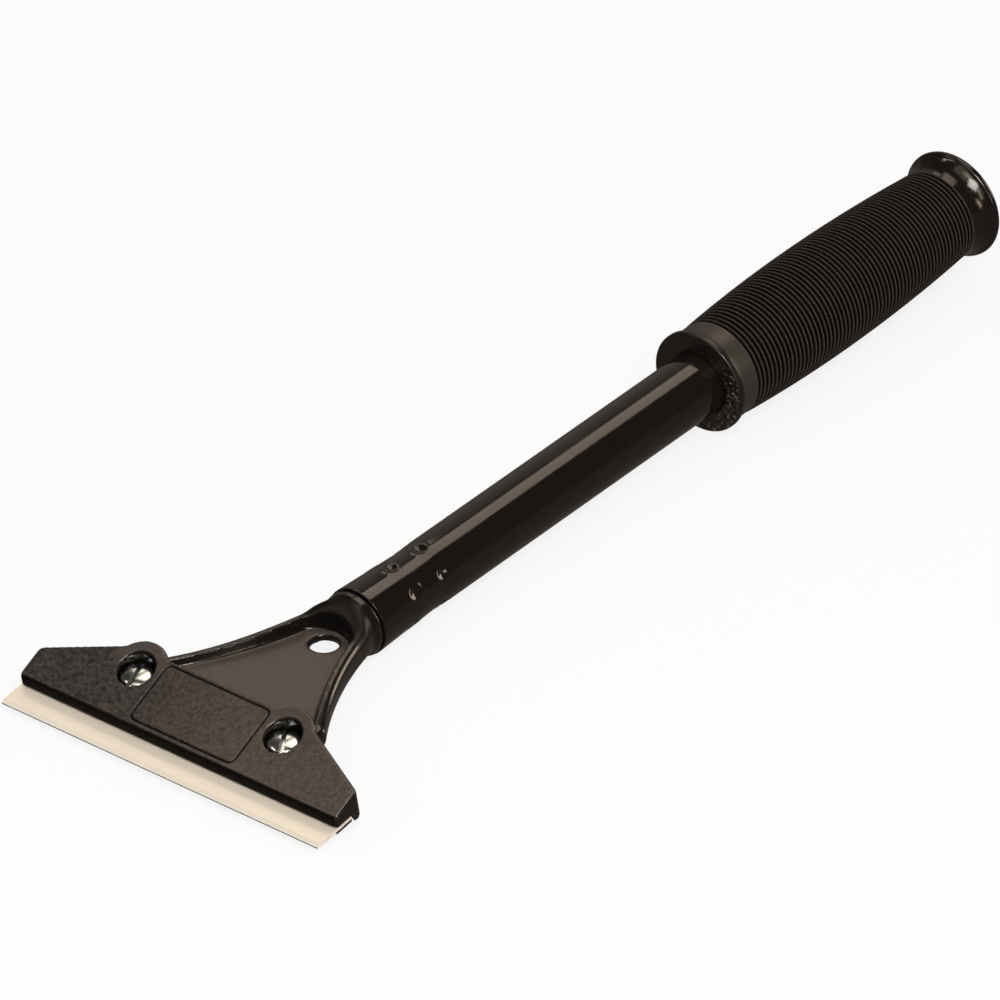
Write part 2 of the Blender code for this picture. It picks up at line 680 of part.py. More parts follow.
def resting_place():
    """Tilt and shift that lay the tool on its front part and its grip, over the world's origin."""
    jaw = Matrix.Translation((0.0, -NECK_REACH, -SEAT_DROP)) @ Matrix.Rotation(JAW_TILT, 4, "X")
    plate_front = PLATE_FRONT_INSET - JAW_REACH
    plate_nose = [(plate_front, PLATE_BOTTOM + PLATE_CHAMFER), (plate_front + PLATE_CHAMFER, PLATE_BOTTOM)]
    front = [tuple((jaw @ Vector((0.0, *point))).yz) for point in blade_section() + plate_nose]
    front += [(y, -radius) for y, radius in tube_outer()]
    grip = [(TUBE_SHOWN + y, -radius) for y, radius in grip_outside()]
    low, far = table_contact(front, grip)
    tilt = resting_tilt(low, far)
    lift = -(low[0] * math.sin(tilt) + low[1] * math.cos(tilt))
    along = [y * math.cos(tilt) - z * math.sin(tilt) for y, z in front + grip]
    return tilt, (0.0, -(min(along) + max(along)) / 2, lift)


def main():
    clear_scene()
    cast_black = paint("cast_black", (0.022, 0.019, 0.018), 0.42, 0.0)
    tube_black = paint("tube_black", (0.012, 0.010, 0.010), 0.16, 0.0)
    grip_rubber = paint("grip_rubber", (0.018, 0.018, 0.018), 0.62, 0.0)
    blade_steel = paint("blade_steel", (0.78, 0.72, 0.64), 0.32, 1.0)
    plate_black = paint("plate_black", (0.020, 0.018, 0.017), 0.40, 0.0)
    screw_zinc = paint("screw_zinc", (0.72, 0.74, 0.74), 0.24, 1.0)

    tilt, place = resting_place()
    tool = frame_empty("tool_frame", None, place, tilt)
    jaw = frame_empty("jaw_frame", tool, (0.0, -NECK_REACH, -SEAT_DROP), JAW_TILT)
    build_head(tool, jaw, cast_black)
    build_plate(jaw, plate_black)
    build_blade(jaw, blade_steel)
    build_screws(jaw, screw_zinc)
    build_tube(tool, tube_black)
    build_grip(tool, grip_rubber)


main()
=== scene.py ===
"""Algae scraper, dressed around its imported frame: cast head, blade, clamp, screws, tube and rubber grip."""

import math

import bmesh
import bpy
from mathutils import Matrix
from mathutils import Vector
from mathutils import noise


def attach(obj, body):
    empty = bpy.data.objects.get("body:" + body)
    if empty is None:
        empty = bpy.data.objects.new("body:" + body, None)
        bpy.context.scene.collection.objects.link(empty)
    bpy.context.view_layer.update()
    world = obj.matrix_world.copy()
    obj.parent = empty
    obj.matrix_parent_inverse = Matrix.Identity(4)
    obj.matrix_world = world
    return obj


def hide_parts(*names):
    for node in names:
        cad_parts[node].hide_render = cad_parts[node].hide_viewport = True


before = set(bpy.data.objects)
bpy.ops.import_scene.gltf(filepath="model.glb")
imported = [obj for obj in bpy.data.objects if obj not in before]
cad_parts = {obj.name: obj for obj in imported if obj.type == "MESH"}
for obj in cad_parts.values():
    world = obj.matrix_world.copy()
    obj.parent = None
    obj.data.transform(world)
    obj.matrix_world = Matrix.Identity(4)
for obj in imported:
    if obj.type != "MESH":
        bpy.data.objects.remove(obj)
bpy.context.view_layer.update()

# Shapes are drawn in millimetres, in the tool frame (tube along Y, mouth at the origin) or in the jaw frame
# (on the blade seat, Y back along the blade, Z square to it), and then laid in the row frame.
MM = 0.001
TOOL_TILT = math.radians(2.039216)
TOOL_PLACE = Vector((0.0, -0.081392, 0.009094))
NECK_REACH = 53.4
SEAT_DROP = 0.5
JAW_TILT = math.radians(7.5)
TOOL = Matrix.Translation(TOOL_PLACE) @ Matrix.Rotation(TOOL_TILT, 4, "X") @ Matrix.Scale(MM, 4)
JAW = TOOL @ Matrix.Translation((0.0, -NECK_REACH, -SEAT_DROP)) @ Matrix.Rotation(JAW_TILT, 4, "X")

# Jaw
JAW_HALF = 50.4
JAW_FRONT = -13.4
JAW_NOSE = 3.3
JAW_SLOPE = math.radians(17.0)
JAW_END_BACK = -4.8
JAW_CORNER = 1.0
JAW_RIM = 0.7
JAW_BASE = -2.3
BOSS_RADIUS = 8.1
BOSS_SHOULDER = math.radians(33.0)
BOSS_BACK = math.radians(43.0)
SKIRT_WALL = 2.4
SCREW_X = 23.3
SCREW_SEAT = 3.2
COUNTERBORE = 9.6
SCREW_HOLE = 5.5
CUT_OVER = 4.0
PANEL_HALF = 16.3
PANEL_FRONT = -11.8
PANEL_BACK = 4.22
PANEL_CORNER = 1.6
PANEL_LINE = 0.48
PANEL_LINE_DEPTH = 0.5

# Neck
NECK_RADIUS = 8.8
NECK_STRAIGHT = 3.5
NECK_HALF_HEIGHT = 3.7
NECK_LAND = 2.4
NECK_SHOULDER = 7.2
UNDER_LAND = 1.0
UNDER_SHOULDER = 3.8
COLLAR_STEP = 0.35
RIB_LIFT = 1.05
RIB_LIFT_START = 40.0
RIB_LIFT_RUN = 29.0
FLAT_POWER = 4.5
FLARE_LAND = 11.3
FLARE_INSET = 5.4
FLARE_START = math.radians(12.0)
NECK_SIDES = 112
WEB_TOP = 0.6
WEB_UNDER = 1.7
RIB_WIDTH = 2.6
RIB_DRAFT = 0.5
RECESS_START = 7.0
UNDER_START = 5.0
HANG_HOLE = 7.3
HANG_HOLE_REACH = 12.3
GAP = 0.3
SKIN = 0.39
SETTLE_ROUNDS = 8
RECESS_REACH = 40.0

# The head's skin: the band of finer faces round the panel line, the stretch of neck that is smoothed, the flat of
# the nose, the height of the pebbles, where painted shade darkens the shoulder, and where painted light makes the
# jaw lighter towards its right end
TOP_BAND = 0.5
LINE_BAND = 0.9
NECK_SOFT_FROM = 9.5
NECK_SOFT_TO = -0.9
NECK_SMOOTHING = 4
NOSE_FLAT = 1.5
PEBBLE_HEIGHT = 0.075
SHOULDER_FROM = -13.0
SHOULDER_TO = -2.6
SHOULDER_SHADE = 0.6
SIDE_LIGHT_FROM = -32.0
SIDE_LIGHT_RUN = 52.0

# Blade, plate and screws, in the jaw frame
BLADE_LEFT = -50.5
BLADE_RIGHT = 50.0
BLADE_BACK = -7.7445
BLADE_DEPTH = 12.7
BLADE_TOP = -0.3
BLADE_BOTTOM = -1.1
BLADE_GRIND = 1.1
BLADE_EDGE = 0.40
BLADE_EASE = 0.04
BLADE_CUTS = 99
PLATE_TOP = -1.4
PLATE_FRONT = -12.9
PLATE_HALF = 49.6
PLATE_INSET = 2.7
PLATE_HOLE = 5.4
PLATE_EASE = 0.18
STEP_REACH = 60.0
HEAD_RADIUS = 4.3
HEAD_RIM = 1.5
HEAD_HEIGHT = 2.8
SHANK = 2.4
SHANK_CORE = 2.05
SHANK_END = -2.9
THREAD_PITCH = 0.8
THREAD_STEPS = 28
SLOT_WIDTH = 1.2
SLOT_DEPTH = 1.3
SLOT_REACH = 6.0
SLOT_ABOVE = 2.0
SCREW_EASE = 0.07
SCREW_SIDES = 72
DOME_STEPS = 14
SLOT_TURNS = {"left": math.radians(100.0), "right": math.radians(120.0)}

# Tube
TUBE_RADIUS = 8.5
TUBE_WALL = 1.2
TUBE_LENGTH = 231.5
MOUTH_RADIUS = 9.1
MOUTH_TAPER = 21.5
CRIMP_RADIUS = 8.25
CRIMP_LENGTH = 2.5
CRIMP_RUN_OUT = 3.5
DENT_ROWS = (13.3, 24.0)
DENTS_PER_ROW = 6
DENT_RADIUS = 1.8
DENT_DEPTH = 0.55
DENT_RIM = 0.10
MOUTH_LIP = 0.2
TUBE_SIDES = 176

# Grip, measured back from its front face
GRIP_START = 131.3
GRIP_LENGTH = 104.5
GRIP_FLOOR = 4.0
FLANGE_RADIUS = 13.8
FLANGE_THICKNESS = 2.2
COLLAR_RADIUS = 13.0
COLLAR_LENGTH = 6.3
BARREL_FRONT = 13.2
BARREL_RADIUS = 14.65
BARREL_PEAK = 47.0
BARREL_BACK = 12.55
RIB_COUNT = 60
RIB_DEPTH = 0.85
BELL_LENGTH = 7.8
BELL_RADIUS = 14.7
BELL_RIM = 2.4
BELL_DISH = 1.0
BELL_DISH_MARGIN = 3.5
BELL_ROLL = math.radians(150.0)
GRIP_SIDES = 144
RIBS_START = FLANGE_THICKNESS + COLLAR_LENGTH
RIBS_END = GRIP_LENGTH - BELL_LENGTH
RIB_SHARES = (0.0, 0.07, 0.16, 0.28, 0.42, 0.58, 0.72, 0.84, 0.93)
RIB_POWER = 1.15
FLANGE_ROUND = 0.7
FLANGE_BACK_ROUND = 0.55
COLLAR_FILLET = 0.42
SPECKLE_HEIGHT = 0.26


def plan_slab(shape, corners, low, high):
    """Upright block over a plan outline."""
    face = shape.faces.new([shape.verts.new((x, y, low)) for x, y in corners])
    grown = bmesh.ops.extrude_face_region(shape, geom=[face])["geom"]
    top = [item for item in grown if isinstance(item, bmesh.types.BMVert)]
    bmesh.ops.translate(shape, verts=top, vec=(0.0, 0.0, high - low))


def upright_rod(shape, radius, low, high, x=0.0, y=0.0, sides=96, top_radius=None):
    made = bmesh.ops.create_cone(
        shape, cap_ends=True, segments=sides, radius1=radius, radius2=top_radius or radius, depth=high - low,
        matrix=Matrix.Translation((x, y, (low + high) / 2)))
    return made["verts"]


def trim_over(shape, point, normal):
    """Cut away what lies over a plane and close the cut."""
    whole = shape.verts[:] + shape.edges[:] + shape.faces[:]
    cut = bmesh.ops.bisect_plane(shape, geom=whole, plane_co=point, plane_no=normal, clear_outer=True)["geom_cut"]
    bmesh.ops.contextual_create(shape, geom=[item for item in cut if isinstance(item, bmesh.types.BMEdge)])


def turned(profile, sides):
    """Spin (y, radius) points about Y."""
    shape = bmesh.new()
    verts = [shape.verts.new((0.0, y, radius)) for y, radius in profile]
    edges = [shape.edges.new(pair) for pair in zip(verts, verts[1:])]
    bmesh.ops.spin(
        shape, geom=verts + edges, cent=(0.0, 0.0, 0.0), axis=(0.0, 1.0, 0.0), dvec=(0.0, 0.0, 0.0),
        angle=2 * math.pi, steps=sides, use_merge=True, use_duplicate=False)
    bmesh.ops.remove_doubles(shape, verts=shape.verts, dist=0.002)
    return shape


def arc(centre, radius, start, end, steps):
    angles = [start + (end - start) * i / steps for i in range(steps + 1)]
    return [(centre[0] + radius * math.cos(a), centre[1] + radius * math.sin(a)) for a in angles]


def even_steps(start, end, step):
    count = max(1, round((end - start) / step))
    return [start + (end - start) * i / count for i in range(count + 1)]


def smooth_share(value):
    share = min(max(value, 0.0), 1.0)
    return share * share * (3.0 - 2.0 * share)


def linked(name, data):
    """A new object in the scene."""
    made = bpy.data.objects.new(name, data)
    bpy.context.collection.objects.link(made)
    return made


def laid_mesh(name, shape, place):
    """Close a bmesh, lay it in the row frame and turn it into a mesh."""
    bmesh.ops.transform(shape, matrix=place, verts=shape.verts)
    bmesh.ops.recalc_face_normals(shape, faces=shape.faces)
    mesh = bpy.data.meshes.new(name)
    shape.to_mesh(mesh)
    shape.free()
    return mesh


def rough_form(name, shape, place):
    """A working form for the Boolean steps."""
    return linked(name, laid_mesh(name, shape, place))


def combined(base, steps, finishing=None):
    """Join and cut working forms, and return the finished mesh. The forms are used up."""
    for form, operation in steps:
        modifier = base.modifiers.new(form.name, "BOOLEAN")
        modifier.operation = operation
        modifier.solver = "EXACT"
        modifier.object = form
    if finishing:
        finishing(base)
    graph = bpy.context.evaluated_depsgraph_get()
    mesh = bpy.data.meshes.new_from_object(base.evaluated_get(graph))
    for form in [base, *[form for form, operation in steps]]:
        bpy.data.objects.remove(form, do_unlink=True)
    return mesh


def eased(width, segments, angle):
    """A finishing step for combined forms that rounds their sharp edges."""
    def ease_edges(form):
        ease = form.modifiers.new("ease", "BEVEL")
        ease.width = width * MM
        ease.segments = segments
        ease.limit_method = "ANGLE"
        ease.angle_limit = math.radians(angle)

    return ease_edges


def set_piece(name, mesh, body, nodes, material, crease=35.0):
    """Put a finished mesh in the scene in place of its solids, riding on its body."""
    mesh.name = name
    mesh.shade_smooth()
    mesh.set_sharp_from_angle(angle=math.radians(crease))
    mesh.materials.clear()
    mesh.materials.append(material)
    piece = linked(name, mesh)
    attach(piece, body)
    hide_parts(*nodes)


def mark(mesh, name, values):
    """Store one number per vertex for the materials."""
    layer = mesh.attributes.new(name, "FLOAT", "POINT")
    layer.data.foreach_set("value", values)


# Finishes

class Finish:
    """A Principled material with a few shorthand ways to wire it."""

    def __init__(self, name, metallic=0.0, specular=0.5):
        self.material = bpy.data.materials.new(name)
        self.material.use_nodes = True
        self.tree = self.material.node_tree
        self.shader = self.tree.nodes["Principled BSDF"]
        self.shader.inputs["Metallic"].default_value = metallic
        self.shader.inputs["Specular IOR Level"].default_value = specular
        self.coords = self.tree.nodes.new("ShaderNodeTexCoord").outputs["Object"]

    def wire(self, source, socket):
        self.tree.links.new(source, socket)

    def stretched(self, scale):
        node = self.tree.nodes.new("ShaderNodeMapping")
        node.inputs["Scale"].default_value = scale
        self.wire(self.coords, node.inputs["Vector"])
        return node.outputs["Vector"]

    def grain(self, scale, detail=3.0, rough=0.5, vector=None):
        node = self.tree.nodes.new("ShaderNodeTexNoise")
        node.inputs["Scale"].default_value = scale
        node.inputs["Detail"].default_value = detail
        node.inputs["Roughness"].default_value = rough
        self.wire(vector or self.coords, node.inputs["Vector"])
        return node.outputs["Fac"]

    def pebbles(self, scale):
        node = self.tree.nodes.new("ShaderNodeTexVoronoi")
        node.feature = "SMOOTH_F1"
        node.inputs["Scale"].default_value = scale
        node.inputs["Smoothness"].default_value = 0.6
        self.wire(self.coords, node.inputs["Vector"])
        return node.outputs["Distance"]

    def marked(self, name):
        node = self.tree.nodes.new("ShaderNodeAttribute")
        node.attribute_name = name
        return node.outputs["Fac"]

    def ranged(self, source, low, high, start=0.0, end=1.0):
        node = self.tree.nodes.new("ShaderNodeMapRange")
        self.wire(source, node.inputs["Value"])
        node.inputs["From Min"].default_value = start
        node.inputs["From Max"].default_value = end
        node.inputs["To Min"].default_value = low
        node.inputs["To Max"].default_value = high
        return node.outputs["Result"]

    def together(self, first, second, operation="ADD"):
        node = self.tree.nodes.new("ShaderNodeMath")
        node.operation = operation
        self.wire(first, node.inputs[0])
        self.wire(second, node.inputs[1])
        return node.outputs["Value"]

    def blend(self, share, first, second):
        node = self.tree.nodes.new("ShaderNodeMix")
        node.data_type = "RGBA"
        self.wire(share, node.inputs["Factor"])
        for socket, colour in ((node.inputs["A"], first), (node.inputs["B"], second)):
            if isinstance(colour, tuple):
                socket.default_value = (*colour, 1.0)
            else:
                self.wire(colour, socket)
        return node.outputs["Result"]

    def bump(self, height, strength, distance):
        node = self.tree.nodes.new("ShaderNodeBump")
        node.inputs["Strength"].default_value = strength
        node.inputs["Distance"].default_value = distance
        self.wire(height, node.inputs["Height"])
        self.wire(node.outputs["Normal"], self.shader.inputs["Normal"])

    def colour(self, source):
        self.wire(source, self.shader.inputs["Base Color"])

    def roughness(self, source):
        self.wire(source, self.shader.inputs["Roughness"])

    def specular(self, source):
        self.wire(source, self.shader.inputs["Specular IOR Level"])


def cast_paint():
    """Black paint: pebbled on the jaw, half-matt on the web and boss tops, glossy on the ribs, neck and nose.
    Painted light makes the web and boss tops lighter and the jaw lighter towards its right end; painted shade
    makes the panel line, the nose's front face and the shoulder near-black and matt.
    """
    finish = Finish("cast_paint")
    painted_shade = finish.marked("painted_shade")
    pebbled = finish.marked("pebbled")
    satin_and_painted_light = finish.marked("satin_and_painted_light")
    cloud = finish.grain(160.0, 4.0)
    mottle = finish.grain(1000.0, 3.0, 0.6)
    gloss = finish.blend(cloud, (0.0045, 0.0035, 0.0032), (0.0080, 0.0062, 0.0056))
    coarse = finish.blend(finish.ranged(mottle, 0.0, 1.0, 0.40, 0.60),
                          (0.0090, 0.0067, 0.0058), (0.0440, 0.0328, 0.0282))
    # painted light: a lighter copy of the jaw's colour, laid on towards the jaw's right end
    painted_side_light = finish.blend(finish.ranged(mottle, 0.0, 1.0, 0.34, 0.62),
                           (0.0390, 0.0292, 0.0238), (0.0760, 0.0575, 0.0468))
    jaw = finish.blend(finish.marked("painted_side_light"), coarse, painted_side_light)
    # painted light: the web and boss tops get a much lighter copy of the black paint, standing in for the light
    # they reflect; the same mark gives them a half-matt finish
    floor = finish.blend(cloud, (0.0520, 0.0402, 0.0335), (0.0630, 0.0488, 0.0408))
    skin = finish.blend(satin_and_painted_light, finish.blend(pebbled, gloss, jaw), floor)
    rubbed = finish.blend(finish.ranged(finish.marked("worn"), 0.0, 0.35), skin, (0.070, 0.058, 0.050))
    # painted shade: the panel line, the nose's front face and the shoulder are coloured near-black, with low
    # specular and higher roughness so they show no reflections
    finish.colour(finish.blend(painted_shade, rubbed, (0.0024, 0.0019, 0.0017)))
    finish.specular(finish.ranged(painted_shade, 0.5, 0.05))
    fine = finish.grain(2600.0, 4.0, 0.6)
    level = finish.together(finish.ranged(pebbled, 0.17, 0.44), finish.ranged(satin_and_painted_light, 0.0, 0.17))
    level = finish.together(level, finish.ranged(painted_shade, 0.0, 0.4))
    finish.roughness(finish.together(level, finish.ranged(fine, -0.05, 0.05, 0.3, 0.7)))
    crumbs = finish.together(finish.ranged(finish.pebbles(1250.0), 0.0, 1.0), finish.ranged(fine, 0.0, 0.35))
    finish.bump(finish.together(crumbs, finish.ranged(pebbled, 0.05, 1.0), "MULTIPLY"), 0.7, 0.00014)
    return finish.material


def plate_paint():
    finish = Finish("plate_paint", specular=0.4)
    cloud = finish.grain(220.0, 4.0)
    finish.colour(finish.blend(cloud, (0.016, 0.0140, 0.0130), (0.028, 0.0245, 0.0225)))
    finish.roughness(finish.ranged(finish.grain(900.0, 4.0), 0.34, 0.52))
    finish.bump(finish.grain(2400.0, 3.0), 0.25, 0.00008)
    return finish.material


def tube_enamel():
    """Gloss black enamel with a trace of orange peel and handling haze."""
    finish = Finish("tube_enamel", specular=0.5)
    cloud = finish.grain(70.0, 4.0)
    finish.colour(finish.blend(cloud, (0.0050, 0.0040, 0.0037), (0.0085, 0.0068, 0.0062)))
    haze = finish.grain(1.0, 5.0, 0.6, finish.stretched((420.0, 60.0, 420.0)))
    finish.roughness(finish.ranged(haze, 0.07, 0.17, 0.3, 0.75))
    finish.bump(finish.grain(900.0, 2.0), 0.10, 0.00006)
    return finish.material


def grip_rubber():
    """Moulded rubber: matt on the ribs, smoother on the collar, shiny on the bell. Painted light makes the ribs
    lighter than the rest, and painted shade darkens the grooves, the flange and the bell.
    """
    finish = Finish("grip_rubber")
    cloud = finish.grain(120.0, 5.0, 0.6)
    speckled = finish.marked("speckled")
    crumb = finish.grain(1300.0, 3.0, 0.6)
    black = finish.blend(finish.ranged(cloud, 0.0, 1.0, 0.3, 0.7),
                         (0.0140, 0.0110, 0.0100), (0.0220, 0.0174, 0.0157))
    dusty = finish.blend(finish.marked("dusty"), black, (0.0290, 0.0225, 0.0190))
    ribbed = finish.marked("ribbed")
    # painted light: the ribs get a lighter colour than the rest of the rubber, so their crests read as lit lines
    lit_crests = finish.blend(ribbed, dusty, (0.0520, 0.0414, 0.0370))
    # painted shade: near-black by groove depth, and darker on the flange and bell
    painted_grip_shade = finish.blend(finish.marked("painted_grip_shade"), lit_crests, (0.0012, 0.0010, 0.0009))
    finish.specular(finish.ranged(ribbed, 0.45, 0.05))
    grit = finish.together(speckled, finish.ranged(crumb, 0.0, 1.0, 0.56, 0.63), "MULTIPLY")
    finish.colour(finish.blend(grit, painted_grip_shade, (0.160, 0.125, 0.100)))
    dull = finish.ranged(finish.marked("shiny"), 0.40, 0.15)
    finish.roughness(finish.together(dull, finish.ranged(finish.grain(1500.0, 4.0), -0.06, 0.06, 0.3, 0.7)))
    skin = finish.together(crumb, finish.ranged(speckled, 0.25, 1.0), "MULTIPLY")
    finish.bump(skin, 0.35, 0.00012)
    return finish.material


def blade_steel():
    """Rolled steel with lengthwise drawing marks, and fine grinding marks across the bevel."""
    finish = Finish("blade_steel", metallic=0.2)
    ground = finish.marked("ground")
    drawn = finish.grain(1.0, 4.0, 0.6, finish.stretched((40.0, 5200.0, 5200.0)))
    across = finish.grain(1.0, 3.0, 0.6, finish.stretched((6000.0, 300.0, 300.0)))
    stain = finish.grain(90.0, 5.0, 0.6)
    flat = finish.blend(finish.ranged(stain, 0.0, 1.0, 0.35, 0.7), (0.93, 0.83, 0.685), (0.89, 0.80, 0.66))
    steel = finish.blend(ground, flat, (0.95, 0.875, 0.76))
    # painted shade: the narrow front face of the edge is coloured dark
    finish.colour(finish.blend(finish.marked("edge"), steel, (0.055, 0.050, 0.046)))
    marks = finish.blend(ground, drawn, across)
    finish.roughness(finish.ranged(marks, 0.19, 0.26, 0.3, 0.7))
    finish.bump(marks, 0.06, 0.00003)
    return finish.material


def screw_zinc():
    finish = Finish("screw_zinc", metallic=1.0)
    cloud = finish.grain(500.0, 4.0)
    finish.colour(finish.blend(cloud, (0.48, 0.53, 0.55), (0.62, 0.68, 0.71)))
    finish.roughness(finish.ranged(finish.grain(1600.0, 4.0), 0.13, 0.22, 0.3, 0.7))
    finish.bump(finish.grain(2000.0, 3.0), 0.05, 0.00004)
    return finish.material


# Cast head

def jaw_top(y):
    return JAW_NOSE + (y - JAW_FRONT) * math.tan(JAW_SLOPE)


def jaw_plan(inset, half_width):
    """Straight sides of the jaw in plan, set in from its back edges. The round bosses are added over it."""
    end = Vector((JAW_HALF, JAW_END_BACK))
    boss = Vector((SCREW_X + BOSS_RADIUS * math.cos(BOSS_SHOULDER), BOSS_RADIUS * math.sin(BOSS_SHOULDER)))
    along = (end - boss).normalized()
    outward = Vector((-along.y, along.x))
    near = boss - outward * inset
    far = near + along * (half_width - near.x) / along.x
    back = (SCREW_X - BOSS_RADIUS * math.cos(BOSS_BACK), BOSS_RADIUS * math.sin(BOSS_BACK) - inset)
    return [tuple(far), tuple(near), back]


def jaw_slab(shape, inset, half_width, front, low, high):
    right = jaw_plan(inset, half_width)
    left = [(-x, y) for x, y in reversed(right)]
    plan_slab(shape, [(half_width, front), *right, *left, (-half_width, front)], low, high)


def boss_rods(radius, low, high):
    shape = bmesh.new()
    for x in (-SCREW_X, SCREW_X):
        upright_rod(shape, radius, low, high, x=x)
    return shape


def ease_rim(shape):
    """Round the edge all along the sloping top."""
    rim = [edge for edge in shape.edges if all(abs(v.co.z - jaw_top(v.co.y)) < 0.01 for v in edge.verts)]
    bmesh.ops.bevel(shape, geom=rim, offset=JAW_RIM, segments=4, profile=0.5, affect="EDGES", material=-1)


def jaw_form():
    """The wedge of the jaw with the two round bosses at its back, as one plan outline."""
    far = jaw_plan(0.0, JAW_HALF)[0]
    right = [far, *arc((SCREW_X, 0.0), BOSS_RADIUS, BOSS_SHOULDER, math.pi - BOSS_BACK, 36)]
    left = [(-x, y) for x, y in reversed(right)]
    wedge = bmesh.new()
    plan_slab(wedge, [(JAW_HALF, JAW_FRONT), *right, *left, (-JAW_HALF, JAW_FRONT)], JAW_BASE,
              jaw_top(BOSS_RADIUS) + CUT_OVER)
    corners = [edge for edge in wedge.edges if all(abs(v.co.x) > JAW_HALF - 0.01 for v in edge.verts)
               and abs(edge.verts[0].co.z - edge.verts[1].co.z) > 1.0]
    bmesh.ops.bevel(
        wedge, geom=corners, offset=JAW_CORNER, segments=5, profile=0.5, affect="EDGES", material=-1)
    trim_over(wedge, (0.0, JAW_FRONT, JAW_NOSE), (0.0, -math.sin(JAW_SLOPE), math.cos(JAW_SLOPE)))
    ease_rim(wedge)
    return rough_form("wedge", wedge, JAW)


def flare_circle():
    """Centre and radius of the arc along the neck's side."""
    across = SCREW_X + BOSS_RADIUS - FLARE_INSET - NECK_RADIUS
    along = NECK_REACH - FLARE_LAND - NECK_STRAIGHT
    forward = across * math.sin(FLARE_START) + along * math.cos(FLARE_START)
    sideways = across * math.cos(FLARE_START) - along * math.sin(FLARE_START)
    radius = (forward ** 2 + sideways ** 2) / (2 * sideways)
    return NECK_RADIUS + radius * math.cos(FLARE_START), radius * math.sin(FLARE_START) - NECK_STRAIGHT, radius


def neck_half_width(y):
    cx, cy, radius = flare_circle()
    reach = min(max(y, FLARE_LAND - NECK_REACH), -NECK_STRAIGHT) - cy
    return cx - math.sqrt(radius ** 2 - reach ** 2)


def shoulder_share(y, land, run):
    """How far the neck has risen from its flat bar to the round end at the tube."""
    share = min(max((y + land + run) / run, 0.0), 1.0)
    return 0.5 - 0.5 * math.cos(math.pi * share)


def neck_form():
    """A flat bar with round corners at the jaw, and a shoulder up to a round collar at the tube."""
    flat = NECK_REACH - FLARE_LAND
    foot = NECK_LAND + NECK_SHOULDER
    stations = [-NECK_REACH, *even_steps(-flat, -foot, 1.2)[:-1], *even_steps(-foot, -NECK_LAND - 0.2, 0.5),
                -NECK_LAND, -1.8, -UNDER_LAND, -0.7, -GAP]
    shape = bmesh.new()
    loops = []
    for y in stations:
        half_width = neck_half_width(y)
        trim = 0.15 if y == stations[-1] else 0.0
        if y < -NECK_LAND:
            trim = COLLAR_STEP * smooth_share((y + NECK_LAND + 5.0) / 4.0)
        lift = RIB_LIFT * smooth_share((y + RIB_LIFT_START) / RIB_LIFT_RUN)
        over = shoulder_share(y, NECK_LAND, NECK_SHOULDER)
        under = shoulder_share(y, UNDER_LAND, UNDER_SHOULDER)
        ring = bmesh.ops.create_circle(shape, cap_ends=False, radius=1.0, segments=NECK_SIDES)["verts"]
        for vert in ring:
            across, up = vert.co.x, vert.co.y
            rise = over if up >= 0.0 else under
            bar = NECK_HALF_HEIGHT + (lift if up >= 0.0 else 0.0)
            half_height = bar + (NECK_RADIUS - bar) * rise
            power = FLAT_POWER + (2.0 - FLAT_POWER) * rise
            x = (half_width - trim) * math.copysign(abs(across) ** (2 / power), across)
            z = (half_height - trim) * math.copysign(abs(up) ** (2 / power), up)
            vert.co = (x, y, z)
        loops.append(list(dict.fromkeys(edge for vert in ring for edge in vert.link_edges)))
    for near, far in zip(loops, loops[1:]):
        bmesh.ops.bridge_loops(shape, edges=near + far)
    for end in (loops[0], loops[-1]):
        bmesh.ops.contextual_create(shape, geom=end)
    return rough_form("neck", shape, TOOL)


def recess_form(up, low, start):
    """The hollow over or under the web, between the two ribs and round the hang hole."""
    cx, cy, radius = flare_circle()
    high = NECK_RADIUS + CUT_OVER
    reach = -HANG_HOLE_REACH
    half = cx - math.sqrt((radius + RIB_WIDTH) ** 2 - (reach - cy) ** 2)
    run = HANG_HOLE_REACH - start
    block = bmesh.new()
    front = -NECK_REACH - CUT_OVER
    corners = [(-RECESS_REACH, front), (RECESS_REACH, front), (RECESS_REACH, reach), (-RECESS_REACH, reach)]
    plan_slab(block, corners, low, high)
    end = bmesh.new()
    verts = upright_rod(end, 1.0 - RIB_DRAFT / half, low, high, sides=128, top_radius=1.0 + RIB_DRAFT / half)
    bmesh.ops.scale(end, vec=(half, run, 1.0), verts=verts)
    bmesh.ops.translate(end, vec=(0.0, reach, 0.0), verts=verts)
    flip = TOOL @ Matrix.Scale(up, 4, (0.0, 0.0, 1.0))
    sides = []
    for side in (-1, 1):
        rod = bmesh.new()
        upright_rod(rod, radius + RIB_WIDTH + RIB_DRAFT, low - 1.0, high + 1.0, x=side * cx, y=cy, sides=512,
                    top_radius=radius + RIB_WIDTH - RIB_DRAFT)
        sides.append((rough_form("rib_side", rod, flip), "DIFFERENCE"))
    end_form = (rough_form("recess_end", end, flip), "UNION")
    return linked("recess_cut", combined(rough_form("recess", block, flip), [*sides, end_form]))


def pocket_forms():
    """Room under the jaw for the blade and its clamp plate."""
    block = bmesh.new()
    jaw_slab(block, SKIRT_WALL, JAW_HALF + CUT_OVER, JAW_FRONT - CUT_OVER, JAW_BASE - CUT_OVER, 0.0)
    round_ends = boss_rods(BOSS_RADIUS - SKIRT_WALL, JAW_BASE - CUT_OVER, 0.0)
    return rough_form("pocket", block, JAW), rough_form("pocket_bosses", round_ends, JAW)


def even_skin(form):
    """Reskin the joined forms with even faces, and let the corners settle into small cast fillets."""
    skin = form.modifiers.new("skin", "REMESH")
    skin.mode = "VOXEL"
    skin.voxel_size = SKIN * MM
    settle = form.modifiers.new("settle", "SMOOTH")
    settle.factor = 0.5
    settle.iterations = SETTLE_ROUNDS


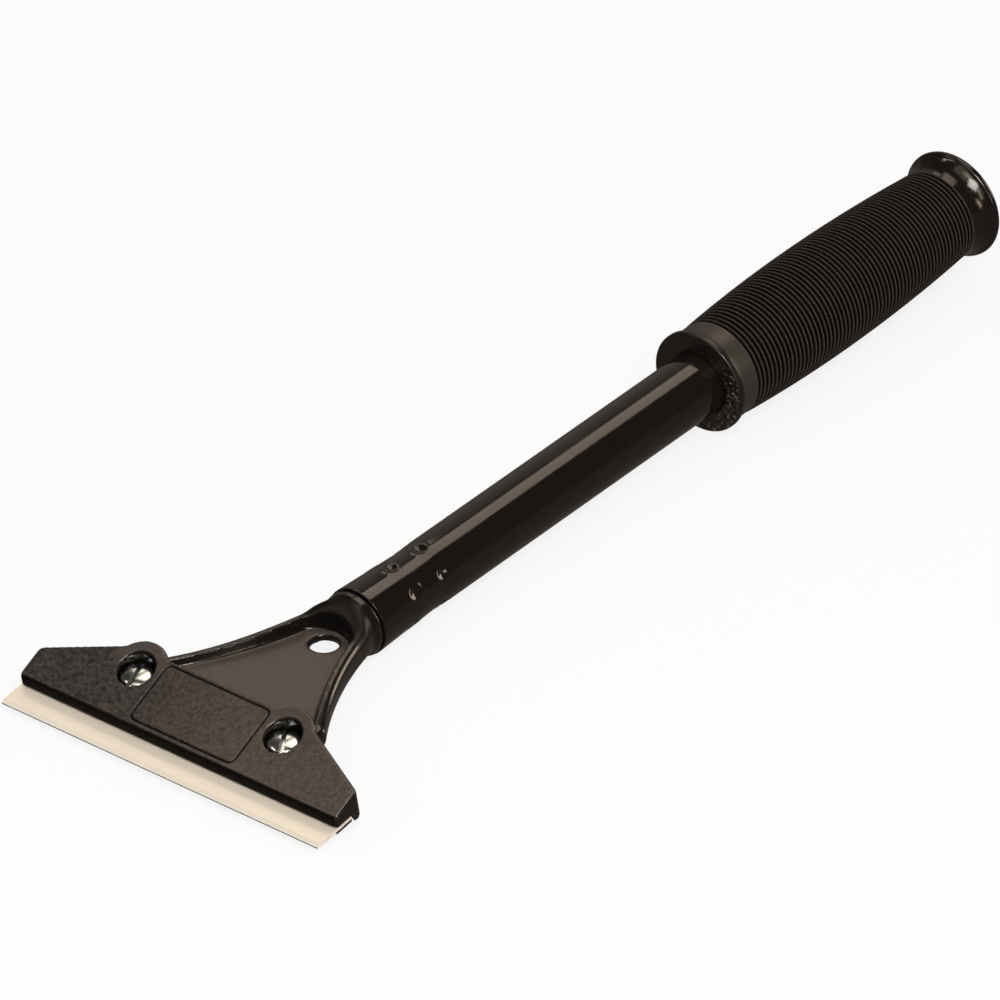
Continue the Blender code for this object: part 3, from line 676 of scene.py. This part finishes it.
def panel_distance(x, y):
    """Signed distance from the line round the bare label panel, in plan."""
    middle = (PANEL_FRONT + PANEL_BACK) / 2
    dx = abs(x) - (PANEL_HALF - PANEL_CORNER)
    dy = abs(y - middle) - ((PANEL_BACK - PANEL_FRONT) / 2 - PANEL_CORNER)
    return math.hypot(max(dx, 0.0), max(dy, 0.0)) + min(max(dx, dy), 0.0) - PANEL_CORNER


def refine_line(shape, to_jaw):
    """Finer faces along the line round the panel."""
    near_line = {}
    for vert in shape.verts:
        spot = to_jaw @ vert.co
        if abs(spot.z - jaw_top(spot.y)) < TOP_BAND and abs(panel_distance(spot.x, spot.y)) < LINE_BAND:
            near_line.update(dict.fromkeys(vert.link_edges))
    bmesh.ops.subdivide_edges(shape, edges=list(near_line), cuts=2, use_grid_fill=True)
    shape.normal_update()


def soften_neck(shape, to_jaw, to_tool):
    """Let the neck's corners flow into each other."""
    soft = [vert for vert in shape.verts
            if (to_jaw @ vert.co).y > NECK_SOFT_FROM and (to_tool @ vert.co).y < NECK_SOFT_TO]
    for _ in range(NECK_SMOOTHING):
        bmesh.ops.smooth_vert(shape, verts=soft, factor=0.5, use_axis_x=True, use_axis_y=True, use_axis_z=True)


def sharpen_nose(shape, to_jaw):
    """Bring the nose back to a flat face with a crisp lower edge."""
    for vert in shape.verts:
        spot = to_jaw @ vert.co
        if spot.y < JAW_FRONT + 0.7 and -0.2 < spot.z < NOSE_FLAT and abs(spot.x) < JAW_HALF - 1.3:
            crisp = (spot.x, JAW_FRONT, spot.z) if spot.z > 0.2 else (spot.x, spot.y, 0.0)
            vert.co = JAW @ Vector(crisp)


def dress_head(mesh):
    """Finish the skin, press the line and the pebbles into the jaw's top, and note which paint goes where, with
    painted shade on the line, the nose and the shoulder and painted light on the web, the boss tops and the jaw's
    right end.
    """
    to_jaw = JAW.inverted()
    to_tool = TOOL.inverted()
    turn = to_jaw.to_3x3()
    shape = bmesh.new()
    shape.from_mesh(mesh)
    shape.normal_update()
    refine_line(shape, to_jaw)
    soften_neck(shape, to_jaw, to_tool)
    sharpen_nose(shape, to_jaw)
    shape.normal_update()
    pebbled, satin_and_painted_light, worn, painted_shade, painted_side_light, moves = [], [], [], [], [], []
    for vert in shape.verts:
        spot = to_jaw @ vert.co
        facing = (turn @ vert.normal).normalized()
        lift = spot.z - jaw_top(spot.y)
        on_top = smooth_share((facing.z - 0.75) / 0.15) * smooth_share((lift + 0.9) / 0.4)
        if spot.y > 10.0:
            on_top = 0.0
        move = 0.0
        line = 0.0
        if on_top > 0.0:
            cell = Vector((spot.x, spot.y, 0.0))
            grain = noise.fractal(cell * 0.62, 0.9, 2.1, 3) + 0.5 * noise.noise(cell * 1.6)
            move += on_top * PEBBLE_HEIGHT * grain
            # painted shade: the pressed line round the panel is also coloured near-black
            line = on_top * (1.0 - smooth_share(abs(panel_distance(spot.x, spot.y)) / PANEL_LINE))
            move -= PANEL_LINE_DEPTH * line
        moves.append(move)
        web = to_tool @ vert.co
        # painted shade: the nose's forward-facing front is marked near-black
        if spot.y < JAW_FRONT + 1.0:
            line = max(line, smooth_share((-facing.y - 0.75) / 0.15))
        shoulder = smooth_share((web.y - SHOULDER_FROM) / 3.0) * smooth_share((SHOULDER_TO - web.y) / 1.0)
        # painted shade: the top of the shoulder before the collar is darkened
        line = max(line, SHOULDER_SHADE * shoulder * smooth_share((web.z - 1.5) / 1.5))
        painted_shade.append(line)
        # painted light: the jaw is made lighter from left to right, with a little noise in where it starts
        painted_side_light.append(smooth_share((spot.x - SIDE_LIGHT_FROM + 4.0 * noise.noise(spot * 0.15)) / SIDE_LIGHT_RUN))
        around = [edge.other_vert(vert).co for edge in vert.link_edges]
        mean = sum(around, Vector()) / len(around)
        bulge = (vert.co - mean).dot(vert.normal) / (SKIN * MM)
        patch = 0.65 + 0.7 * noise.noise(spot * 0.22)
        worn.append(smooth_share((bulge - 0.02) / 0.10) * max(patch, 0.0))
        boss = min(math.hypot(spot.x - x, spot.y) for x in (-SCREW_X, SCREW_X))
        smooth_boss = smooth_share((BOSS_RADIUS + 0.8 - boss) / 1.0) * smooth_share((spot.y + 1.0) / 3.0)
        pebbled.append(on_top * (1.0 - 0.8 * smooth_boss))
        # painted light and finish: the flat web and the boss tops are marked for the lighter colour and the
        # half-matt roughness
        flat = smooth_share((facing.z - 0.9) / 0.06) * smooth_share((0.7 - abs(web.z - WEB_TOP)) / 0.4)
        satin_and_painted_light.append(max(flat if spot.y > 4.0 else 0.0, on_top * smooth_boss))
    for vert, move in zip(shape.verts, moves):
        vert.co += vert.normal * move * MM
    shape.to_mesh(mesh)
    shape.free()
    mark(mesh, "pebbled", pebbled)
    mark(mesh, "satin_and_painted_light", satin_and_painted_light)
    mark(mesh, "worn", worn)
    mark(mesh, "painted_shade", painted_shade)
    mark(mesh, "painted_side_light", painted_side_light)


def build_head(material):
    wedge = jaw_form()
    neck = neck_form()
    hang_hole = bmesh.new()
    upright_rod(hang_hole, HANG_HOLE / 2, -NECK_RADIUS, NECK_RADIUS, y=-HANG_HOLE_REACH)
    neck_cuts = [(recess_form(1.0, WEB_TOP, RECESS_START), "DIFFERENCE"),
                 (recess_form(-1.0, WEB_UNDER, UNDER_START), "DIFFERENCE"),
                 (rough_form("hang_hole", hang_hole, TOOL), "DIFFERENCE")]
    ribbed = linked("ribbed_neck", combined(neck, neck_cuts))
    pocket, pocket_bosses = pocket_forms()
    bores = rough_form("bores", boss_rods(COUNTERBORE / 2, SCREW_SEAT, jaw_top(BOSS_RADIUS) + CUT_OVER), JAW)
    holes = rough_form("holes", boss_rods(SCREW_HOLE / 2, -CUT_OVER, SCREW_SEAT + 1.0), JAW)
    cuts = [(form, "DIFFERENCE") for form in (pocket, pocket_bosses, bores, holes)]
    mesh = combined(wedge, [(ribbed, "UNION"), *cuts], even_skin)
    dress_head(mesh)
    set_piece("cast_head", mesh, "handle_and_head", ["head_casting"], material, 60.0)


# Blade, clamp plate and screws

def build_blade(material):
    front = BLADE_BACK - BLADE_DEPTH
    section = [(BLADE_BACK, BLADE_BOTTOM), (BLADE_BACK, BLADE_TOP), (front + BLADE_GRIND, BLADE_TOP),
               (front, BLADE_BOTTOM + BLADE_EDGE), (front, BLADE_BOTTOM)]
    shape = bmesh.new()
    face = shape.faces.new([shape.verts.new((BLADE_LEFT, y, z)) for y, z in section])
    grown = bmesh.ops.extrude_face_region(shape, geom=[face])["geom"]
    far = [item for item in grown if isinstance(item, bmesh.types.BMVert)]
    bmesh.ops.translate(shape, verts=far, vec=(BLADE_RIGHT - BLADE_LEFT, 0.0, 0.0))
    long_edges = [edge for edge in shape.edges if abs(edge.verts[0].co.x - edge.verts[1].co.x) > 1.0]
    bmesh.ops.subdivide_edges(shape, edges=long_edges, cuts=BLADE_CUTS)
    rims = [edge for edge in shape.edges if edge.is_manifold and edge.calc_face_angle(0.0) > 0.9]
    bmesh.ops.bevel(shape, geom=rims, offset=BLADE_EASE, segments=2, profile=0.5, affect="EDGES", material=-1)
    ground = [1.0 if vert.co.y < front + BLADE_GRIND - 0.01 else 0.0 for vert in shape.verts]
    # painted shade: marks the front face of the edge for the dark colour
    edge = [1.0 if vert.co.y < front + 0.01 else 0.0 for vert in shape.verts]
    mesh = laid_mesh("steel_blade", shape, JAW)
    mark(mesh, "ground", ground)
    mark(mesh, "edge", edge)
    set_piece("steel_blade", mesh, "blade_strip", ["blade"], material, 12.0)


def build_plate(material):
    block = bmesh.new()
    jaw_slab(block, PLATE_INSET, PLATE_HALF, PLATE_FRONT, JAW_BASE, BLADE_TOP)
    step = bmesh.new()
    back = BLADE_BACK + GAP
    front = PLATE_FRONT - CUT_OVER
    corners = [(-STEP_REACH, front), (STEP_REACH, front), (STEP_REACH, back), (-STEP_REACH, back)]
    plan_slab(step, corners, PLATE_TOP, CUT_OVER)
    bosses = rough_form("plate_bosses", boss_rods(BOSS_RADIUS - PLATE_INSET, JAW_BASE, BLADE_TOP), JAW)
    holes = rough_form("plate_holes", boss_rods(PLATE_HOLE / 2, JAW_BASE - 1.0, CUT_OVER), JAW)
    steps = [(bosses, "UNION"), (rough_form("step", step, JAW), "DIFFERENCE"), (holes, "DIFFERENCE")]
    mesh = combined(rough_form("plate", block, JAW), steps, eased(PLATE_EASE, 3, 50.0))
    set_piece("clamp_plate_painted", mesh, "clamp", ["clamp_plate"], material)


def thread(shape, low, high):
    """A helical ridge round the shank, closed at both ends."""
    turns = (high - low) / THREAD_PITCH
    steps = round(turns * THREAD_STEPS)
    rise = (high - low) / steps
    half = THREAD_PITCH * 0.42
    corners = ((SHANK_CORE - 0.1, -half), (SHANK, -half * 0.2), (SHANK, half * 0.2), (SHANK_CORE - 0.1, half))
    verts = [shape.verts.new((r, 0.0, low + z)) for r, z in corners]
    face = shape.faces.new(verts)
    bmesh.ops.spin(
        shape, geom=[face], cent=(0.0, 0.0, 0.0), axis=(0.0, 0.0, 1.0), dvec=(0.0, 0.0, rise),
        angle=2 * math.pi * turns, steps=steps, use_merge=False, use_duplicate=False)


def build_screw(side, x, material):
    seat = SCREW_SEAT + GAP
    rim = HEAD_RADIUS
    dome = HEAD_HEIGHT - HEAD_RIM
    profile = [(SHANK_END, 0.0), (SHANK_END, SHANK_CORE - 0.4), (SHANK_END + 0.35, SHANK_CORE), (seat, SHANK_CORE),
               (seat, rim - 0.2), (seat + 0.2, rim)]
    profile += [(seat + HEAD_RIM + dome * math.sin(a), rim * math.cos(a))
                for a in [math.pi / 2 * i / DOME_STEPS for i in range(DOME_STEPS)]]
    profile.append((seat + HEAD_HEIGHT, 0.0))
    shape = turned(profile, SCREW_SIDES)
    bmesh.ops.rotate(shape, verts=shape.verts, cent=(0, 0, 0), matrix=Matrix.Rotation(math.pi / 2, 3, "X"))
    stand = JAW @ Matrix.Translation((x, 0.0, 0.0)) @ Matrix.Rotation(SLOT_TURNS[side], 4, "Z")
    slot = bmesh.new()
    top = seat + HEAD_HEIGHT
    half = SLOT_WIDTH / 2
    corners = [(-SLOT_REACH, -half), (SLOT_REACH, -half), (SLOT_REACH, half), (-SLOT_REACH, half)]
    plan_slab(slot, corners, top - SLOT_DEPTH, top + SLOT_ABOVE)
    screw = rough_form("screw", shape, stand)
    mesh = combined(screw, [(rough_form("slot", slot, stand), "DIFFERENCE")], eased(SCREW_EASE, 2, 55.0))
    ridge = bmesh.new()
    thread(ridge, SHANK_END + 0.45, seat - 0.5)
    ridge_mesh = laid_mesh("thread", ridge, stand)
    whole = bmesh.new()
    whole.from_mesh(mesh)
    whole.from_mesh(ridge_mesh)
    whole.to_mesh(mesh)
    whole.free()
    bpy.data.meshes.remove(ridge_mesh)
    set_piece(f"slotted_screw_{side}", mesh, f"{side}_screw",
              [f"clamp_screw_{side}"], material)


# Tube

def tube_profile():
    """Outside of the tube from its mouth to its end, then back along the inside."""
    crimp_end = MOUTH_TAPER + CRIMP_LENGTH
    straight = crimp_end + CRIMP_RUN_OUT
    corners = [(MOUTH_LIP, MOUTH_RADIUS), (MOUTH_TAPER, CRIMP_RADIUS), (crimp_end, CRIMP_RADIUS),
               (straight, TUBE_RADIUS)]
    outside = []
    for (y0, r0), (y1, r1) in zip(corners, corners[1:]):
        outside += [(y, r0 + (r1 - r0) * (y - y0) / (y1 - y0)) for y in even_steps(y0, y1, 0.4)[:-1]]
    outside += [(y, TUBE_RADIUS) for y in even_steps(straight, TUBE_LENGTH, 6.0)]
    lip = arc((MOUTH_LIP, MOUTH_RADIUS - MOUTH_LIP), MOUTH_LIP, math.pi, math.pi / 2, 4)[:-1]
    inside = [(TUBE_LENGTH, TUBE_RADIUS - TUBE_WALL), (straight, TUBE_RADIUS - TUBE_WALL),
              (crimp_end, CRIMP_RADIUS - TUBE_WALL), (MOUTH_TAPER, CRIMP_RADIUS - TUBE_WALL),
              (0.0, MOUTH_RADIUS - TUBE_WALL)]
    return [*lip, *outside, *inside, lip[0]]


def press_dents(shape):
    """Punch two rows of dents into the tube over the spigot's grooves."""
    for vert in shape.verts:
        radius = math.hypot(vert.co.x, vert.co.z)
        wall = 1.0 if radius > CRIMP_RADIUS - 0.6 else 0.6
        turn = math.atan2(vert.co.z, vert.co.x)
        for row in DENT_ROWS:
            if abs(vert.co.y - row) > 2 * DENT_RADIUS:
                continue
            step = 2 * math.pi / DENTS_PER_ROW
            off = (turn - math.pi / 2 + step / 2) % step - step / 2
            away = math.hypot(off * radius, vert.co.y - row) / DENT_RADIUS
            pit = (1.0 - smooth_share(away)) * DENT_DEPTH * wall
            collar = DENT_RIM * math.exp(-((away - 1.25) / 0.3) ** 2)
            share = (radius - pit + collar * wall) / radius
            vert.co.x *= share
            vert.co.z *= share


def build_tube(material):
    shape = turned(tube_profile(), TUBE_SIDES)
    press_dents(shape)
    mesh = laid_mesh("enamelled_tube", shape, TOOL)
    set_piece("enamelled_tube", mesh, "handle_and_head", ["handle_tube"], material)


# Grip

def barrel_radius(y):
    start, end = RIBS_START, RIBS_END
    if y < BARREL_PEAK:
        share = (BARREL_PEAK - y) / (BARREL_PEAK - start)
        return BARREL_RADIUS - (BARREL_RADIUS - BARREL_FRONT) * share * share
    share = (y - BARREL_PEAK) / (end - BARREL_PEAK)
    return BARREL_RADIUS - (BARREL_RADIUS - BARREL_BACK) * share * share


def grip_profile():
    """From the floor of the bore over the front face, the ribs and the bell to the middle of the back."""
    bore = TUBE_RADIUS + GAP
    floor = GRIP_LENGTH - GRIP_FLOOR
    start, end = RIBS_START, RIBS_END
    points = [(floor, 0.0), (floor, bore), (1.4, bore), (0.5, TUBE_RADIUS + 0.02), (0.15, TUBE_RADIUS + 0.06)]
    points += [(0.0, radius) for radius in even_steps(bore, FLANGE_RADIUS - FLANGE_ROUND, 0.33)]
    points += arc((FLANGE_ROUND, FLANGE_RADIUS - FLANGE_ROUND), FLANGE_ROUND, math.pi, math.pi / 2, 5)[1:]
    back = FLANGE_THICKNESS - FLANGE_BACK_ROUND
    points += arc((back, FLANGE_RADIUS - FLANGE_BACK_ROUND), FLANGE_BACK_ROUND, math.pi / 2, 0.15, 4)
    points += arc((FLANGE_THICKNESS + 0.45, COLLAR_RADIUS + COLLAR_FILLET), COLLAR_FILLET,
                  -math.pi + 0.5, -math.pi / 2, 4)
    points += [(y, COLLAR_RADIUS) for y in (4.0, 6.0, start - 0.35)]
    pitch = (end - start) / RIB_COUNT
    for i in range(RIB_COUNT):
        for share in RIB_SHARES:
            y = start + (i + share) * pitch
            crest = (0.5 - 0.5 * math.cos(2 * math.pi * share)) ** RIB_POWER
            points.append((y, barrel_radius(y) - RIB_DEPTH * (1.0 - crest)))
    low = barrel_radius(end) - RIB_DEPTH
    roll = BELL_RIM / 2
    rim = arc((GRIP_LENGTH - roll, BELL_RADIUS - roll), roll, BELL_ROLL, 0.0, 14)
    for share in [i / 16 for i in range(16)]:
        points.append((end + (rim[0][0] - end) * share, low + (rim[0][1] - low) * share ** 2))
    dish = GRIP_LENGTH - BELL_DISH
    inner = rim[-1][1] - BELL_DISH_MARGIN
    points += rim
    points += [(dish + BELL_DISH * (1.0 - smooth_share(s)), rim[-1][1] - BELL_DISH_MARGIN * s)
               for s in (0.2, 0.4, 0.6, 0.8, 1.0)]
    points += [(dish, inner * 0.5), (dish, 2.2), (dish - 0.35, 1.8), (dish - 0.35, 0.0)]
    return points


def dress_grip(mesh):
    """Roughen the lower part of the front face, and note where the rubber is smooth, dusty or on the ribs, and
    where painted shade darkens it: with depth in the grooves, and at a fixed share on the flange and the bell.
    """
    to_tool = TOOL.inverted()
    shape = bmesh.new()
    shape.from_mesh(mesh)
    shiny, speckled, dusty, ribbed, painted_grip_shade, moves = [], [], [], [], [], []
    for vert in shape.verts:
        spot = to_tool @ vert.co
        y = spot.y - GRIP_START
        radius = math.hypot(spot.x, spot.z)
        bell = smooth_share((y - RIBS_END + 0.4) / 0.8)
        flange = 0.35 * smooth_share((FLANGE_THICKNESS + 0.5 - y) / 0.5)
        shiny.append(max(bell, flange))
        outside = radius > TUBE_RADIUS + 1.0
        on_collar = FLANGE_THICKNESS + 0.2 < y < RIBS_START - 0.2 and outside
        on_ribs = RIBS_START <= y <= RIBS_END and outside
        dusty.append(1.0 if on_collar else 0.0)
        # painted shade: grooves darken with depth below the barrel; the flange and bell darken at a fixed share
        shade_share = 0.0
        if on_ribs:
            shade_share = smooth_share(1.9 * (barrel_radius(y) - radius) / RIB_DEPTH)
        elif y < FLANGE_THICKNESS or y > RIBS_END:
            shade_share = 0.65
        ribbed.append(1.0 if on_ribs else 0.0)
        painted_grip_shade.append(shade_share)
        low_right = smooth_share((0.75 * spot.x - 0.65 * spot.z + 1.0) / 6.0)
        front = smooth_share((0.5 - y) / 0.3) * smooth_share((radius - TUBE_RADIUS - 0.6) / 0.6)
        rough = low_right * front if radius < FLANGE_RADIUS - 0.3 else 0.0
        speckled.append(rough)
        cell = Vector((spot.x, 0.0, spot.z))
        crumb = noise.noise(cell * 1.9) + 0.7 * noise.noise(cell * 3.7)
        moves.append(rough * SPECKLE_HEIGHT * crumb)
    along = TOOL.to_3x3() @ Vector((0.0, 1.0, 0.0))
    for vert, move in zip(shape.verts, moves):
        vert.co += along * move
    shape.to_mesh(mesh)
    shape.free()
    mark(mesh, "shiny", shiny)
    mark(mesh, "speckled", speckled)
    mark(mesh, "dusty", dusty)
    mark(mesh, "ribbed", ribbed)
    mark(mesh, "painted_grip_shade", painted_grip_shade)


def build_grip(material):
    shape = turned([(GRIP_START + y, radius) for y, radius in grip_profile()], GRIP_SIDES)
    mesh = laid_mesh("ribbed_grip", shape, TOOL)
    dress_grip(mesh)
    set_piece("ribbed_grip", mesh, "handle_and_head", ["grip"], material, 50.0)


# Studio

VIEW_TURN = math.radians(41.214)
VIEW_LIFT = math.radians(33.900)
VIEW_ROLL = math.radians(-2.511)
VIEW_DISTANCE = 3000.0
VIEW_AIM = Vector((0.0, 78.0, 0.0))
VIEW_OFFSET = (15.2116, 5.3462)
VIEW_SCALE = 4.0505
SENSOR = 36.0
FRAME_WIDTH = 1000.0
AMBIENT = 0.55
FLOOR_GLOW = 0.84
CANOPY_RADIUS = 6.0
CARD_RADIUS = 4.0
CARD_LIFT = 0.0001
CLOTH = (1.0, 0.85, 0.72)
PAINTED_GLOW_SIDE = (-0.60, 0.72, 0.34)
WARM = (1.0, 0.83, 0.66)
SOFT_WHITE = (1.0, 0.95, 0.89)
TUBE_LAMP_DISTANCE = 4.0
SPARK_DISTANCE = 3.0
FILL_DISTANCE = 1.7


def set_camera():
    data = bpy.data.cameras.new("camera")
    data.sensor_width = SENSOR
    data.lens = VIEW_SCALE * VIEW_DISTANCE * SENSOR / FRAME_WIDTH
    data.clip_end = 100.0
    camera = linked("camera", data)
    spin = (Matrix.Rotation(VIEW_TURN, 4, "Z") @ Matrix.Rotation(math.pi / 2 - VIEW_LIFT, 4, "X")
            @ Matrix.Rotation(VIEW_ROLL, 4, "Z"))
    back = Matrix.Translation((-VIEW_OFFSET[0], -VIEW_OFFSET[1], VIEW_DISTANCE))
    stand = Matrix.Translation(VIEW_AIM) @ spin @ back
    place = TOOL @ stand
    camera.matrix_world = Matrix.LocRotScale(place.to_translation(), place.to_quaternion(), None)
    bpy.context.scene.camera = camera


def seen_ray(tree):
    """1 for camera, glossy and transmitted rays."""
    path = tree.nodes.new("ShaderNodeLightPath")
    total = path.outputs["Is Camera Ray"]
    for name in ("Is Glossy Ray", "Is Transmission Ray"):
        node = tree.nodes.new("ShaderNodeMath")
        node.operation = "MAXIMUM"
        tree.links.new(total, node.inputs[0])
        tree.links.new(path.outputs[name], node.inputs[1])
        total = node.outputs["Value"]
    return total


def set_world():
    world = bpy.data.worlds.new("studio")
    world.use_nodes = True
    tree = world.node_tree
    background = tree.nodes["Background"]
    background.inputs["Color"].default_value = (1.0, 1.0, 1.0, 1.0)
    reach = tree.nodes.new("ShaderNodeMapRange")
    tree.links.new(seen_ray(tree), reach.inputs["Value"])
    reach.inputs["To Min"].default_value = AMBIENT
    reach.inputs["To Max"].default_value = 1.0
    tree.links.new(reach.outputs["Result"], background.inputs["Strength"])
    bpy.context.scene.world = world


def set_floor():
    shape = bmesh.new()
    bmesh.ops.create_grid(shape, x_segments=2, y_segments=2, size=6.0)
    mesh = bpy.data.meshes.new("floor")
    shape.to_mesh(mesh)
    shape.free()
    material = bpy.data.materials.new("pale_floor")
    material.use_nodes = True
    tree = material.node_tree
    shader = tree.nodes["Principled BSDF"]
    shader.inputs["Base Color"].default_value = (0.92, 0.92, 0.92, 1.0)
    shader.inputs["Roughness"].default_value = 0.9
    shader.inputs["Specular IOR Level"].default_value = 0.0
    glow = tree.nodes.new("ShaderNodeEmission")
    mix = tree.nodes.new("ShaderNodeMixShader")
    share = tree.nodes.new("ShaderNodeMath")
    share.operation = "MULTIPLY"
    share.inputs[1].default_value = FLOOR_GLOW
    tree.links.new(seen_ray(tree), share.inputs[0])
    tree.links.new(share.outputs["Value"], mix.inputs["Fac"])
    tree.links.new(shader.outputs["BSDF"], mix.inputs[1])
    tree.links.new(glow.outputs["Emission"], mix.inputs[2])
    tree.links.new(mix.outputs["Shader"], tree.nodes["Material Output"].inputs["Surface"])
    mesh.materials.append(material)
    floor = linked("floor", mesh)


def dark_flag(name, shape, inner, glow):
    """A black studio cloth that only shows in reflections, with a painted glow round the side where a lamp hangs
    before it.
    """
    mesh = bpy.data.meshes.new(name)
    shape.to_mesh(mesh)
    shape.free()
    material = bpy.data.materials.new(name)
    material.use_nodes = True
    tree = material.node_tree
    tree.nodes.remove(tree.nodes["Principled BSDF"])
    cloth = tree.nodes.new("ShaderNodeEmission")
    cloth.inputs["Color"].default_value = (*CLOTH, 1.0)
    place = tree.nodes.new("ShaderNodeTexCoord")
    straight = tree.nodes.new("ShaderNodeVectorMath")
    straight.operation = "NORMALIZE"
    facing = tree.nodes.new("ShaderNodeVectorMath")
    facing.operation = "DOT_PRODUCT"
    # painted light: the cloth's emission is brighter towards this side
    facing.inputs[1].default_value = Vector(PAINTED_GLOW_SIDE).normalized()
    reach = tree.nodes.new("ShaderNodeMapRange")
    reach.interpolation_type = "SMOOTHSTEP"
    reach.inputs["From Min"].default_value = 0.80
    reach.inputs["From Max"].default_value = 1.0
    reach.inputs["To Min"].default_value = inner
    reach.inputs["To Max"].default_value = glow
    tree.links.new(place.outputs["Object"], straight.inputs[0])
    tree.links.new(straight.outputs["Vector"], facing.inputs[0])
    tree.links.new(facing.outputs["Value"], reach.inputs["Value"])
    tree.links.new(reach.outputs["Result"], cloth.inputs["Strength"])
    tree.links.new(cloth.outputs["Emission"], tree.nodes["Material Output"].inputs["Surface"])
    mesh.materials.append(material)
    flag = linked(name, mesh)
    flag.visible_camera = False
    flag.visible_diffuse = False
    flag.visible_transmission = False
    flag.visible_shadow = False


def set_flags():
    canopy = bmesh.new()
    bmesh.ops.create_uvsphere(canopy, u_segments=48, v_segments=24, radius=CANOPY_RADIUS)
    dark_flag("dark_canopy", canopy, 0.06, 0.34)
    card = bmesh.new()
    bmesh.ops.create_circle(
        card, cap_ends=True, radius=CARD_RADIUS, segments=64, matrix=Matrix.Translation((0.0, 0.0, CARD_LIFT)))
    dark_flag("dark_card", card, 0.16, 0.16)


def softbox(name, place, facing, size, power, colour):
    """A soft lamp at a place, shining back along a direction."""
    data = bpy.data.lights.new(name, "AREA")
    data.shape = "RECTANGLE"
    data.size, data.size_y = size
    data.energy = power
    data.color = colour
    lamp = linked(name, data)
    lamp.location = place
    lamp.rotation_euler = facing.to_track_quat("Z", "Y").to_euler()
    return lamp


def beside_tube(name, turn, along, size, power):
    """A lamp at a turn about the tube's direction that only shows in reflections."""
    away = Vector((math.cos(turn), 0.0, math.sin(turn)))
    lamp = softbox(name, away * TUBE_LAMP_DISTANCE + Vector((0.0, along, 0.0)), away, size, power, WARM)
    lamp.visible_diffuse = False


def spark(name, direction, size, power, roll=0.0):
    """A lamp in a direction from the tool that only shows in reflections."""
    lamp = softbox(name, Vector(direction) * SPARK_DISTANCE, Vector(direction), size, power, WARM)
    lamp.rotation_euler.rotate_axis("Z", roll)
    lamp.visible_diffuse = False


def set_lamps():
    """Strips for the tube's streaks, a panel for the blade, small lamps for rims and bell, and a front lamp."""
    beside_tube("strip", math.radians(97.0), 2.29, (3.73, 2.38), 68.0)
    beside_tube("blade_panel", math.radians(129.0), 2.17, (1.05, 1.45), 8.0)
    beside_tube("back_strip", math.radians(88.0), -2.6, (3.2, 2.4), 28.0)
    spark("kicker", (0.38, 0.90, 0.22), (1.3, 1.3), 24.0)
    spark("edge_light", (-0.55, -0.44, 0.71), (1.3, 0.2), 7.0)
    spark("bell_light", (0.55, -0.50, 0.67), (3.4, 0.35), 16.0, math.radians(-55.0))
    spark("side_glint", (0.95, -0.18, 0.26), (0.35, 0.9), 8.0)
    fill = Vector((0.55, -0.40, 0.75))
    softbox("front_fill", fill * FILL_DISTANCE, fill, (0.6, 0.6), 16.0, SOFT_WHITE)


set_camera()
set_world()
set_floor()
set_flags()
set_lamps()
build_head(cast_paint())
build_blade(blade_steel())
build_plate(plate_paint())
zinc = screw_zinc()
build_screw("left", -SCREW_X, zinc)
build_screw("right", SCREW_X, zinc)
build_tube(tube_enamel())
build_grip(grip_rubber())

bpy.context.scene.view_settings.view_transform = "Standard"
